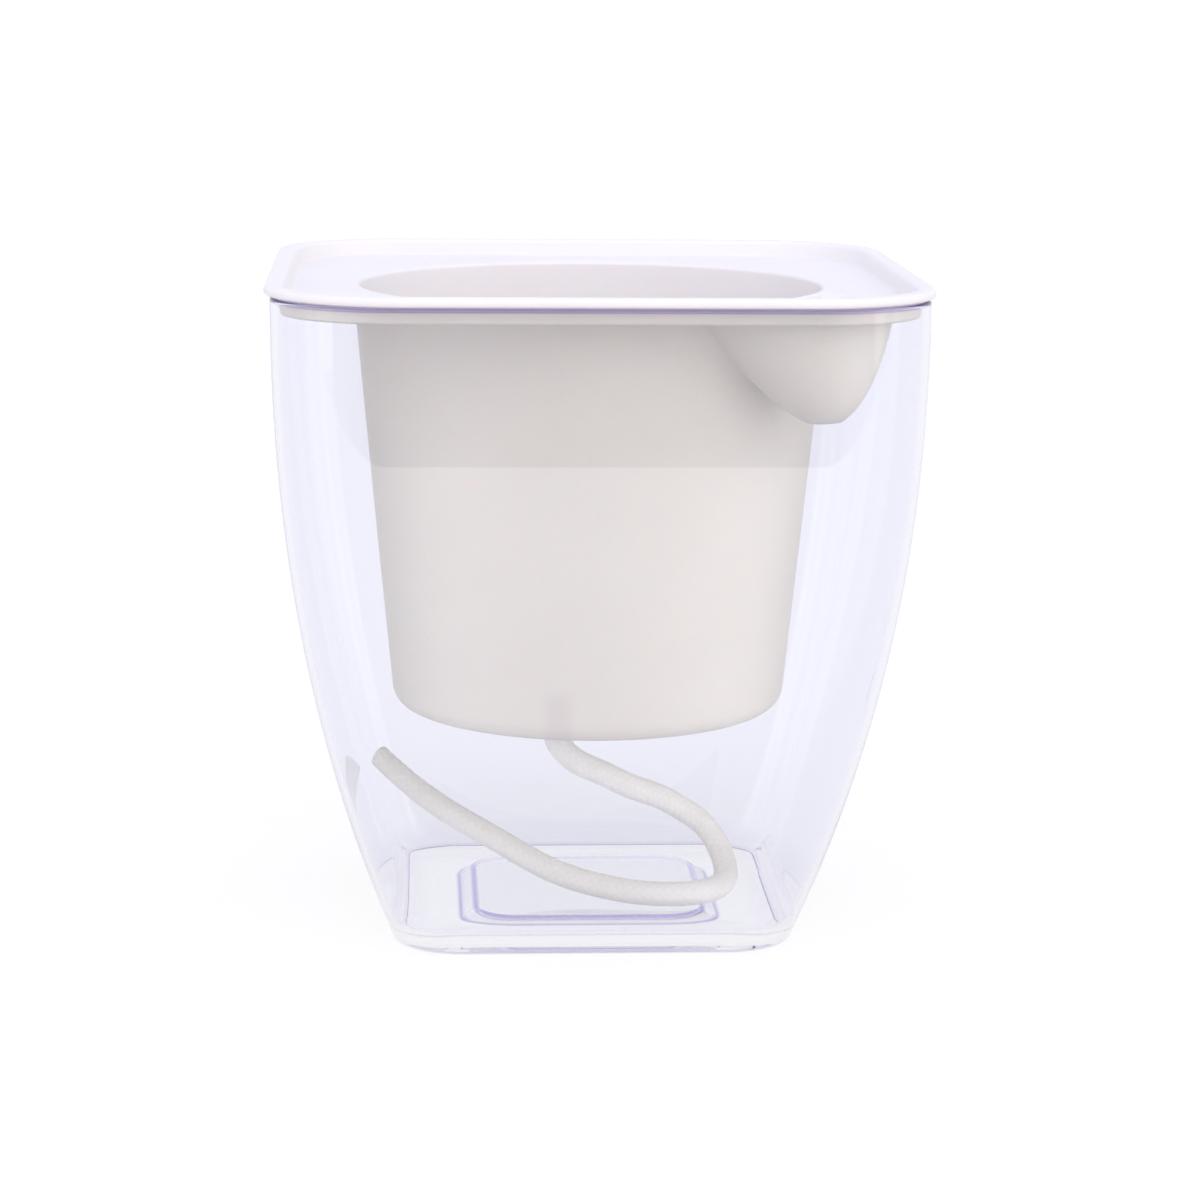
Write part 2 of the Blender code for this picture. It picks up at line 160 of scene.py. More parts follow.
def square_reach(angles: np.ndarray, half: np.ndarray, corner: np.ndarray) -> np.ndarray:
    """Distance from the axis to the edge of a square with round corners.

    In a direction whose larger and smaller parts are m and n, the flat side is met at
    half / m. Where that point lies past the side's end, the corner's circle is met at
    b + sqrt(b^2 - 2 c^2 + corner^2), with c = half - corner and b = c (m + n).

    Args:
        angles: Directions from the axis, in radians.
        half: Half width of each square.
        corner: Corner radius of each square.

    Returns:
        Distances as (square, direction).
    """
    half, corner = np.atleast_1d(half)[:, None], np.atleast_1d(corner)[:, None]
    larger = np.maximum(np.abs(np.cos(angles)), np.abs(np.sin(angles)))[None, :]
    smaller = np.minimum(np.abs(np.cos(angles)), np.abs(np.sin(angles)))[None, :]
    centre = half - corner
    slant = centre * (larger + smaller)
    root = np.sqrt(np.maximum(slant ** 2 - 2 * centre ** 2 + corner ** 2, 0.0))
    return np.where(half * smaller / larger <= centre, half / larger, slant + root)


def bend(before: np.ndarray, corner: np.ndarray, after: np.ndarray, steps: int) -> np.ndarray:
    """Soften a corner: a quadratic curve that leaves one point towards the corner and
    arrives at the other from it, (1-t)^2 before + 2t(1-t) corner + t^2 after.

    Args:
        before: Where the curve starts.
        corner: The sharp corner that it rounds off.
        after: Where the curve ends.
        steps: Number of steps along it.

    Returns:
        The points, with the steps as a new first axis.
    """
    t = np.linspace(0.0, 1.0, steps + 1).reshape(-1, *[1] * np.ndim(before))
    return (1 - t) ** 2 * before + 2 * t * (1 - t) * corner + t ** 2 * after


def arc(centre: tuple[float, float], radius: float, start: float, end: float,
        steps: int) -> np.ndarray:
    """Points (distance out, height) of an arc about a centre between two angles."""
    turn = np.linspace(start, end, steps + 1)
    return np.stack([centre[0] + radius * np.cos(turn),
                     centre[1] + radius * np.sin(turn)], axis=1)


def blend_above_zero(depth: np.ndarray, width: float) -> np.ndarray:
    """Smooth larger-of(depth, 0): within the width of zero it is (depth + width)^2 / 4 width."""
    soft = (depth + width) ** 2 / (4 * width)
    return np.where(np.abs(depth) < width, soft, np.maximum(depth, 0.0))


def curve_through(points: np.ndarray, count: int) -> tuple[np.ndarray, float]:
    """Natural cubic spline through the points, read at even lengths.

    The spline's second derivatives solve the usual three-term system over the chords.

    Args:
        points: The points that the spline passes, as (point, xyz).
        count: Number of places to read.

    Returns:
        The places as (place, xyz), and the spline's length.
    """
    chords = np.linalg.norm(np.diff(points, axis=0), axis=1)
    knots = np.concatenate(([0.0], np.cumsum(chords)))
    slopes = np.diff(points, axis=0) / chords[:, None]
    last = len(points) - 1
    inner = np.arange(1, last)
    system, known = np.eye(last + 1), np.zeros_like(points)
    system[inner, inner - 1] = chords[:-1]
    system[inner, inner] = 2 * (chords[:-1] + chords[1:])
    system[inner, inner + 1] = chords[1:]
    known[inner] = 6 * np.diff(slopes, axis=0)
    turn = np.linalg.solve(system, known)
    fine = np.linspace(0.0, knots[-1], SPLINE_PLACES)
    i = np.clip(np.searchsorted(knots, fine, side="right") - 1, 0, last - 1)
    span = chords[i][:, None]
    after = (fine - knots[i])[:, None]
    before = span - after
    curve = ((turn[i] * before ** 3 + turn[i + 1] * after ** 3) / (6 * span)
             + (points[i] / span - turn[i] * span / 6) * before
             + (points[i + 1] / span - turn[i + 1] * span / 6) * after)
    steps = np.linalg.norm(np.diff(curve, axis=0), axis=1)
    travelled = np.concatenate(([0.0], np.cumsum(steps)))
    even = np.linspace(0.0, travelled[-1], count)
    places = [np.interp(even, travelled, curve[:, axis]) for axis in range(3)]
    return np.stack(places, axis=1), float(travelled[-1])


# Finishes of the pieces and of the studio


class NodeTree:
    """A material's or the world's node tree, with short calls to fill it."""

    def __init__(self, owner: bpy.types.Material | bpy.types.World) -> None:
        """Clear the owner's node tree and keep it.

        Args:
            owner: The material or the world to fill.
        """
        owner.use_nodes = True
        self.tree = owner.node_tree
        self.tree.nodes.clear()

    def add(self, kind: str, inputs: dict[str | int, object] | None = None,
            **settings: object) -> bpy.types.Node:
        """Add a node.

        Args:
            kind: Blender's name of the node type.
            inputs: Values for its sockets, by name or number; a socket is linked instead.
            settings: Values for the node's own properties.

        Returns:
            The node.
        """
        node = self.tree.nodes.new(kind)
        for key, value in settings.items():
            setattr(node, key, value)
        for key, value in (inputs or {}).items():
            if isinstance(value, bpy.types.NodeSocket):
                self.tree.links.new(value, node.inputs[key])
            else:
                node.inputs[key].default_value = value
        return node

    def math(self, operation: str, *values: object) -> bpy.types.NodeSocket:
        """Add a Math node on the values or sockets and return its result."""
        inputs = dict(enumerate(values))
        return self.add("ShaderNodeMath", inputs, operation=operation).outputs[0]

    def noise(self, where: bpy.types.NodeSocket, scale: float, detail: float = 2.0,
              roughness: float = 0.5) -> bpy.types.NodeSocket:
        """Add a noise texture and return its strength, about 0.5 on average."""
        node = self.add("ShaderNodeTexNoise", {"Vector": where, "Scale": scale,
                                               "Detail": detail, "Roughness": roughness})
        return node.outputs["Fac"]

    def spread(self, value: bpy.types.NodeSocket, low: float, high: float, start: float,
               end: float) -> bpy.types.NodeSocket:
        """Carry a value from the range low..high to the range start..end, held at its ends."""
        node = self.add("ShaderNodeMapRange", {"Value": value, "From Min": low,
                                               "From Max": high, "To Min": start,
                                               "To Max": end})
        return node.outputs["Result"]

    def mix(self, share: object, first: object, second: object) -> bpy.types.NodeSocket:
        """Mix two colours.

        Args:
            share: How much of the second one, as a number or a socket.
            first: The first colour, with its alpha, or a socket.
            second: The second colour, in the same way.

        Returns:
            The mixed colour's socket.
        """
        node = self.add("ShaderNodeMix", data_type="RGBA")
        for number, value in ((0, share), (6, first), (7, second)):
            if isinstance(value, bpy.types.NodeSocket):
                self.tree.links.new(value, node.inputs[number])
            else:
                node.inputs[number].default_value = value
        return node.outputs[2]

    def output(self, kind: str, **sockets: bpy.types.NodeSocket) -> None:
        """Add the output node and link its surface and volume."""
        self.add(kind, dict(sockets))


@dataclass(frozen=True)
class ClearPlastic:
    """Clear polished moulding with a faint violet tint, and a painted darker violet tint along
    its softened edges that stands in for light piped through the plastic.
    """

    colour: Colour = (0.955, 0.96, 1.0)
    painted_edge_light_colour: Colour = (0.46, 0.41, 0.77)
    roughness: float = 0.015
    ior: float = 1.49
    body_colour: Colour = (0.70, 0.65, 0.83)
    body_density: float = 9.0

    def material(self, edge: str) -> bpy.types.Material:
        """Return the material: glass that lets lamps through, around a tinted inside.

        Args:
            edge: Name of the attribute that is 1 on softened edges, where the painted
            violet tint stands in for piped light, and 0 elsewhere.

        Returns:
            The clear material.
        """
        made = bpy.data.materials.new("clear_plastic")
        nodes = NodeTree(made)
        # Painted light: the edge share mixes a darker violet into the glass colour along
        # softened edges, standing in for light piped through the plastic.
        share = nodes.add("ShaderNodeAttribute", attribute_name=edge).outputs["Fac"]
        tint_with_painted_edge_light = nodes.mix(share, (*self.colour, 1.0), (*self.painted_edge_light_colour, 1.0))
        shader = nodes.add("ShaderNodeBsdfPrincipled", {
            "Base Color": tint_with_painted_edge_light, "Roughness": self.roughness, "IOR": self.ior,
            "Transmission Weight": 1.0})
        passing = nodes.add("ShaderNodeBsdfTransparent", {"Color": (1.0, 1.0, 1.0, 1.0)})
        ray = nodes.add("ShaderNodeLightPath")
        surface = nodes.add("ShaderNodeMixShader", {
            0: ray.outputs["Is Shadow Ray"], 1: shader.outputs[0], 2: passing.outputs[0]})
        inside = nodes.add("ShaderNodeVolumeAbsorption", {
            "Color": (*self.body_colour, 1.0), "Density": self.body_density})
        nodes.output("ShaderNodeOutputMaterial", Surface=surface.outputs[0],
                     Volume=inside.outputs[0])
        return made


@dataclass(frozen=True)
class WhitePlastic:
    """Warm white moulding with a fine matte grain."""

    colour: Colour = (0.86, 0.835, 0.80)
    cloud: Colour = (0.845, 0.818, 0.782)
    roughness: tuple[float, float] = (0.40, 0.50)
    grain_scale: float = 2600.0
    cloud_scale: float = 28.0
    cloud_range: tuple[float, float] = (0.35, 0.65)
    grain_range: tuple[float, float] = (0.3, 0.7)
    grain_detail: tuple[float, float] = (3.0, 0.6)
    grain_strength: float = 0.06
    grain_depth: float = 0.0001
    ior: float = 1.5
    translucency: float = 0.35
    light_reach: Colour = (1.0, 0.55, 0.45)
    light_scale: float = 0.0025
    painted_stub_shade: Colour = (0.795, 0.755, 0.74)
    painted_stub_shade_softness: float = 0.0014

    def material(self, stub: Point, radius: float) -> bpy.types.Material:
        """Return the material: soft clouds in the colour, grain in bump and roughness.

        A painted shade strip on the front wall stands in for the wick's stub showing faintly
        through the thin wall.

        Args:
            stub: The stub's end inside the pot.
            radius: The stub's radius.

        Returns:
            The white material.
        """
        made = bpy.data.materials.new("white_plastic")
        nodes = NodeTree(made)
        where = nodes.add("ShaderNodeTexCoord").outputs["Object"]
        cloud = nodes.spread(nodes.noise(where, self.cloud_scale), *self.cloud_range,
                             0.0, 1.0)
        colour = nodes.mix(cloud, (*self.colour, 1.0), (*self.cloud, 1.0))
        place = nodes.add("ShaderNodeSeparateXYZ", {"Vector": where}).outputs
        middle, depth, top = stub
        soft = self.painted_stub_shade_softness
        # Painted shade: a soft darker strip on the front wall, in front of the wick's stub.
        aside = nodes.math("ABSOLUTE", nodes.math("SUBTRACT", place["X"], middle))
        shown = nodes.math(
            "MULTIPLY", nodes.spread(aside, radius - soft, radius + soft, 1.0, 0.0),
            nodes.spread(place["Z"], top, top + 2 * soft, 1.0, 0.0))
        wall = depth - 3 * radius
        front = nodes.spread(place["Y"], wall - soft / 2, wall + soft / 2, 1.0, 0.0)
        colour = nodes.mix(nodes.math("MULTIPLY", shown, front), colour,
                           (*self.painted_stub_shade, 1.0))
        grain = nodes.noise(where, self.grain_scale, *self.grain_detail)
        roughness = nodes.spread(grain, *self.grain_range, *self.roughness)
        bump = nodes.add("ShaderNodeBump", {"Height": grain, "Strength": self.grain_strength,
                                            "Distance": self.grain_depth})
        shader = nodes.add("ShaderNodeBsdfPrincipled", {
            "Base Color": colour, "Roughness": roughness, "IOR": self.ior,
            "Subsurface Weight": self.translucency, "Subsurface Radius": self.light_reach,
            "Subsurface Scale": self.light_scale, "Normal": bump.outputs["Normal"]})
        nodes.output("ShaderNodeOutputMaterial", Surface=shader.outputs[0])
        return made


@dataclass(frozen=True)
class BraidedCotton:
    """Off-white cotton with painted shade between the strands of the braid, and fine fibres."""

    colour: Colour = (0.965, 0.95, 0.93)
    # Painted shade colour for the valleys between the strands
    between: Colour = (0.92, 0.90, 0.88)
    fleck: Colour = (0.95, 0.93, 0.91)
    roughness: float = 0.95
    sheen: float = 0.5
    sheen_roughness: float = 0.4
    fibre_scale: float = 3800.0
    fibre_detail: tuple[float, float] = (3.0, 0.65)
    fibre_range: tuple[float, float] = (0.40, 0.68)
    strand_range: tuple[float, float] = (0.05, 0.6)
    fibre_strength: float = 0.45
    fibre_depth: float = 0.00012
    translucency: float = 0.45
    light_reach: Colour = (1.0, 0.95, 0.9)
    light_scale: float = 0.003

    def material(self, relief: str) -> bpy.types.Material:
        """Return the material: fibres in bump and colour, and light passed on inside.

        Args:
            relief: Name of the attribute that is 0 between strands and 1 on top of them.

        Returns:
            The cotton material.
        """
        made = bpy.data.materials.new("cotton")
        nodes = NodeTree(made)
        where = nodes.add("ShaderNodeTexCoord").outputs["Object"]
        height = nodes.add("ShaderNodeAttribute", attribute_name=relief).outputs["Fac"]
        fibre = nodes.noise(where, self.fibre_scale, *self.fibre_detail)
        flecks = nodes.spread(fibre, *self.fibre_range, 0.0, 1.0)
        top = nodes.mix(flecks, (*self.colour, 1.0), (*self.fleck, 1.0))
        # Painted shade: the colour darkens towards the valleys between the strands.
        lift = nodes.spread(height, *self.strand_range, 0.0, 1.0)
        colour = nodes.mix(lift, (*self.between, 1.0), top)
        bump = nodes.add("ShaderNodeBump", {"Height": fibre, "Strength": self.fibre_strength,
                                            "Distance": self.fibre_depth})
        shader = nodes.add("ShaderNodeBsdfPrincipled", {
            "Base Color": colour, "Roughness": self.roughness, "Sheen Weight": self.sheen,
            "Sheen Roughness": self.sheen_roughness, "Subsurface Weight": self.translucency,
            "Subsurface Radius": self.light_reach, "Subsurface Scale": self.light_scale,
            "Normal": bump.outputs["Normal"]})
        nodes.output("ShaderNodeOutputMaterial", Surface=shader.outputs[0])
        return made


@dataclass(frozen=True)
class StudioFloor:
    """Plain pale floor that keeps soft shadows and meets a white background."""

    colour: Colour = (0.86, 0.79, 0.74)
    seen_colour: Colour = (0.22, 0.21, 0.20)
    lift: float = 0.82
    clear_lift: float = 0.74
    front_glow: float = 0.35
    front_span: tuple[float, float] = (-0.10, -0.14)

    def material(self) -> bpy.types.Material:
        """Return the material: diffuse, lifted to white for rays that show a background.

        In front of the pot a mirrored ray finds it brighter still.

        Returns:
            The floor's material.
        """
        made = bpy.data.materials.new("studio_floor")
        nodes = NodeTree(made)
        seen = seen_by_eye(nodes)
        colour = nodes.mix(seen, (*self.colour, 1.0), (*self.seen_colour, 1.0))
        paint = nodes.add("ShaderNodeBsdfDiffuse", {"Color": colour})
        where = nodes.add("ShaderNodeTexCoord").outputs["Object"]
        depth = nodes.add("ShaderNodeSeparateXYZ", {"Vector": where}).outputs["Y"]
        ray = nodes.add("ShaderNodeLightPath").outputs
        front = nodes.math("MULTIPLY", mirrored(nodes),
                           nodes.spread(depth, *self.front_span, 0.0, self.front_glow))
        lift = nodes.math("MULTIPLY", seen, nodes.spread(
            ray["Is Camera Ray"], 0.0, 1.0, self.clear_lift, self.lift))
        glow = nodes.add("ShaderNodeEmission", {"Strength": nodes.math("ADD", lift, front)})
        both = nodes.add("ShaderNodeAddShader", {0: paint.outputs[0], 1: glow.outputs[0]})
        nodes.output("ShaderNodeOutputMaterial", Surface=both.outputs[0])
        return made


@dataclass(frozen=True)
class StudioScreen:
    """The dark side of the studio, behind the camera."""

    colour: Colour = (0.90, 0.92, 1.0)
    strength: float = 0.30
    side_fade: tuple[float, float] = (0.2, 1.5)
    top_fade: tuple[float, float] = (0.7, 1.1)

    def material(self) -> bpy.types.Material:
        """Return the material: dark grey, fading to white at the sides and the top.

        Rays that weren't mirrored on their way pass it.

        Returns:
            The screen's material.
        """
        made = bpy.data.materials.new("studio_screen")
        nodes = NodeTree(made)
        where = nodes.add("ShaderNodeTexCoord").outputs["Object"]
        place = nodes.add("ShaderNodeSeparateXYZ", {"Vector": where}).outputs
        aside = nodes.spread(nodes.math("ABSOLUTE", place["X"]), *self.side_fade,
                             self.strength, 1.0)
        above = nodes.spread(place["Z"], *self.top_fade, self.strength, 1.0)
        glow = nodes.add("ShaderNodeEmission", {
            "Color": (*self.colour, 1.0), "Strength": nodes.math("MAXIMUM", aside, above)})
        passing = nodes.add("ShaderNodeBsdfTransparent")
        shown = nodes.add("ShaderNodeMixShader", {
            0: mirrored(nodes), 1: passing.outputs[0], 2: glow.outputs[0]})
        nodes.output("ShaderNodeOutputMaterial", Surface=shown.outputs[0])
        return made


def seen_by_eye(nodes: NodeTree) -> bpy.types.NodeSocket:
    """Tell the rays that show a background from those that light the object.

    Args:
        nodes: The tree that asks.

    Returns:
        A socket that is 1 for camera rays and those that glossy or clear surfaces send on.
    """
    ray = nodes.add("ShaderNodeLightPath").outputs
    sent_on = nodes.math("MAXIMUM", ray["Is Glossy Ray"], ray["Is Transmission Ray"])
    return nodes.math("MAXIMUM", ray["Is Camera Ray"], sent_on)


def mirrored(nodes: NodeTree) -> bpy.types.NodeSocket:
    """Return 1 for rays that a surface has mirrored on their way, 0 for the others."""
    ray = nodes.add("ShaderNodeLightPath").outputs
    return nodes.math("MINIMUM", ray["Glossy Depth"], 1.0)


# The pieces, the lamps and the studio


@dataclass
class ClearReservoir:
    """Clear square cup with round corners and sides that bow out from base to rim."""

    height: float = 0.1571
    rim_width: float = 0.1520
    base_width: float = 0.0960
    rim_corner: float = 0.0275
    base_corner: float = 0.0166
    bow: float = 2.13
    wall: float = 0.0016
    rim_rounding: float = 0.00078
    foot_rounding: float = 0.0015
    floor_rounding: float = 0.0115
    kick_width: float = 0.0620
    kick_height: float = 0.0026
    kick_draft: float = 0.0034
    kick_corner: float = 0.0130
    kick_rounding: float = 0.0007
    # Distance of the ring beside a softened edge, which keeps the flat face flat
    support: float = 0.0003
    # Power that crowds the side's rings towards the base
    crowding: float = 1.3
    # Share of the painted edge light, a violet tint standing in for light piped through the
    # plastic, in the middle of each softened edge. The gap is the ring above each shoulder of
    # the rim, where the painted light is fainter
    rim_painted_light: float = 1.0
    rim_gap_painted_light: float = 0.1
    kick_painted_light: float = 1.0
    foot_painted_light: float = 0.4
    floor_painted_light: float = 0.15
    # Places of two rings on the raised middle, as shares of the way in, and the least
    # corner radius there as a share of the half width
    kick_rings: tuple[float, float] = (0.97, 0.6)
    kick_roundness: float = 0.34
    # Steps along each stretch
    corner_steps: int = 60
    side_steps: int = 14
    wall_rings: int = 88
    foot_steps: int = 6
    floor_steps: int = 16
    rim_steps: int = 6
    kick_steps: int = 5
    foot_repeats: int = 12
    crease: float = math.radians(40.0)
    finish: ClearPlastic = ClearPlastic()

    @property
    def rim_half(self) -> float:
        """Half width at the rim."""
        return self.rim_width / 2

    def section(self, height: np.ndarray, inset: float) -> tuple[np.ndarray, np.ndarray]:
        """Half width and corner radius at a height, set in square to the side.

        The half width is rim - growth (1 - share)^bow, with the share of the height.

        Args:
            height: Heights above the ground.
            inset: Distance in from the outer face.

        Returns:
            Half widths and corner radii.
        """
        share = height / self.height
        growth = (self.rim_width - self.base_width) / 2
        level = inset * np.hypot(1.0, self.side_slope(height))
        half = self.rim_half - growth * (1 - share) ** self.bow
        corner = self.base_corner + (self.rim_corner - self.base_corner) * share
        return half - level, corner - level

    def side_slope(self, height: np.ndarray) -> np.ndarray:
        """How much wider the half width gets per height."""
        growth = (self.rim_width - self.base_width) / 2
        return growth * self.bow / self.height * (1 - height / self.height) ** (self.bow - 1)

    def foot(self, inset: float, floor: float, radius: float, steps: int,
             glow: float) -> np.ndarray:
        """Rounding that touches a level floor and the leaning side.

        Its centre is one radius above the floor; where it touches the side, the side's own
        slope gives the last angle, found by repeating the estimate.

        Args:
            inset: Distance in from the outer face.
            floor: Height of the level floor.
            radius: Radius of the rounding.
            steps: Number of steps along it.
            glow: Share of painted edge light in the middle of it.

        Returns:
            Rows of (half width, corner radius, height, painted edge light share), going
            outwards.
        """
        top = floor
        for _ in range(self.foot_repeats):
            lean = math.atan(float(self.side_slope(np.float64(top))))
            top = floor + radius * (1 - math.sin(lean))
        half, corner = self.section(np.float64(top), inset)
        turn = np.linspace(0.0, QUARTER - lean, steps + 1)
        reach = half - radius * math.cos(lean) + radius * np.sin(turn)
        share = glow * np.sin(np.linspace(0.0, math.pi, steps + 1))
        return np.stack([reach, corner + reach - half,
                         floor + radius * (1 - np.cos(turn)), share], axis=1)

    def side(self, inset: float, lowest: float) -> np.ndarray:
        """Rows up the side to the rim's shoulder, closer together near the base.

        The heights go up by a power of the share of the rows.

        Args:
            inset: Distance in from the outer face.
            lowest: Height of the row below them.

        Returns:
            Rows of (half width, corner radius, height, painted edge light share).
        """
        share = np.arange(1, self.wall_rings + 1) / self.wall_rings
        shoulder = self.height - self.rim_rounding
        height = lowest + (shoulder - self.support - lowest) * share ** self.crowding
        height = np.append(height, shoulder)
        glow = np.where(height < shoulder, 0.0, self.rim_painted_light)
        return np.stack([*self.section(height, inset), height, glow], axis=1)

    def kick(self, offset: float, lift: float, radius: float) -> np.ndarray:
        """Raised middle of the base: rows of (half width, corner radius, height, painted light).

        Args:
            offset: How much wider than the underside's edges.
            lift: How much higher than the underside.
            radius: Reach of the softened edges.

        Returns:
            Rows from near the middle outwards and down to the level ring.
        """
        low = self.kick_width / 2 + offset
        high = low - self.kick_draft
        slope = np.array([self.kick_draft, -self.kick_height])
        slope = slope / np.linalg.norm(slope)
        upper, lower = np.array([high, self.kick_height + lift]), np.array([low, lift])
        flat = np.array([1.0, 0.0])
        level = 2 * radius + self.support
        inwards = np.array([*(high * ring for ring in self.kick_rings), level])
        line = np.concatenate([
            upper - flat * inwards[:, None],
            bend(upper - flat * radius, upper, upper + slope * radius, self.kick_steps),
            bend(lower - slope * radius, lower, lower + flat * radius, self.kick_steps),
            [lower + flat * level]])
        corner = self.kick_corner + line[:, 0] - self.kick_width / 2
        corner = np.clip(corner, line[:, 0] * self.kick_roundness, line[:, 0])
        soft = self.kick_painted_light * np.sin(np.linspace(0.0, math.pi, self.kick_steps + 1))
        glow = np.concatenate([np.zeros(len(inwards)), soft, soft, [0.0]])
        return np.stack([line[:, 0], corner, line[:, 1], glow], axis=1)

    def rows(self) -> np.ndarray:
        """Every ring as (half width, corner radius, height, painted edge light share).

        They run from under the raised middle out to the foot, up the side, over the rim,
        down the inside and across the floor to the top of the raised middle.

        Returns:
            The rows.
        """
        outer_foot = self.foot(0.0, 0.0, self.foot_rounding, self.foot_steps,
                               self.foot_painted_light)
        inner_foot = self.foot(self.wall, self.wall, self.floor_rounding,
                               self.floor_steps, self.floor_painted_light)
        shoulder = self.height - self.rim_rounding
        rim = np.concatenate([
            arc((self.rim_half - self.rim_rounding, shoulder), self.rim_rounding,
                0.0, QUARTER, self.rim_steps)[1:],
            arc((self.rim_half - self.wall + self.rim_rounding, shoulder),
                self.rim_rounding, QUARTER, 2 * QUARTER, self.rim_steps)[:-1]])
        glow = np.full(len(rim), self.rim_painted_light)
        glow[[0, -1]] = self.rim_gap_painted_light
        rim = np.stack([rim[:, 0], self.rim_corner + rim[:, 0] - self.rim_half,
                        rim[:, 1], glow], axis=1)
        spread = (math.hypot(self.kick_height, self.kick_draft)
                  - self.kick_draft) / self.kick_height
        inner_kick = self.kick(self.wall * spread, self.wall, self.kick_rounding * 1.5)
        outer_flat = self.flat(self.kick(0.0, 0.0, self.kick_rounding)[-1], outer_foot[0])
        inner_flat = self.flat(inner_kick[-1], inner_foot[0])
        return np.concatenate([
            self.kick(0.0, 0.0, self.kick_rounding), outer_flat, outer_foot,
            self.side(0.0, outer_foot[-1, 2]), rim,
            self.side(self.wall, inner_foot[-1, 2])[::-1], inner_foot[::-1],
            inner_flat[::-1], inner_kick[::-1]])

    def flat(self, start: np.ndarray, end: np.ndarray) -> np.ndarray:
        """Rows between two rings of the level base, the last close to the end.

        Args:
            start: The row on the inner side.
            end: The row on the outer side.

        Returns:
            The rows between them.
        """
        share = np.array([0.35, 0.7, 1.0])[:, None]
        close = end - np.array([self.support, self.support, 0.0, 0.0])
        return start + (close - start) * share

    def outline(self) -> tuple[np.ndarray, np.ndarray]:
        """Each place of a ring as two parts: one times (half - corner), one times corner.

        A corner's places share one centre and turn about it. A side's places keep the
        direction square to the side while the centre slides along it, closer together
        towards the corners.

        Returns:
            The two parts, each as (place, xy).
        """
        turn = np.linspace(0.0, QUARTER, self.corner_steps + 1)
        slide = np.cos(np.linspace(0.0, math.pi, self.side_steps + 1))[1:-1]
        centre = np.concatenate([np.ones((len(turn), 2)),
                                 np.stack([slide, np.ones_like(slide)], axis=1)])
        out = np.concatenate([np.stack([np.cos(turn), np.sin(turn)], axis=1),
                              np.stack([np.zeros_like(slide), np.ones_like(slide)], axis=1)])
        spins = [np.array([[math.cos(q * QUARTER), math.sin(q * QUARTER)],
                           [-math.sin(q * QUARTER), math.cos(q * QUARTER)]]) for q in range(4)]
        return (np.concatenate([centre @ spin for spin in spins]),
                np.concatenate([out @ spin for spin in spins]))

    def build(self) -> bpy.types.Object:
        """Build the cup as one closed skin and dress it.

        Returns:
            The finished reservoir.
        """
        rows = self.rows()
        centre, out = self.outline()
        half, corner, height = (rows[:, i, None, None] for i in range(3))
        level = centre * (half - corner) + out * corner
        rings = np.concatenate([level, np.broadcast_to(height, (*level.shape[:2], 1))], axis=2)
        poles = np.array([[0.0, 0.0, rows[0, 2]], [0.0, 0.0, rows[-1, 2]]])
        piece = skin("clear_reservoir", rings, Ends.POLES, poles)
        # Painted light along the softened edges: each ring's share of the violet edge tint.
        edge = piece.data.attributes.new("painted_edge_light_share", "FLOAT", "POINT")
        share = np.broadcast_to(rows[:, 3, None], rings.shape[:2]).ravel()
        edge.data.foreach_set("value", np.append(share, [0.0, 0.0]))
        smooth(piece, self.crease)
        piece.data.materials.append(self.finish.material("painted_edge_light_share"))
        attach(piece, Body.RESERVOIR.value)
        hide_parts("reservoir")
        return piece


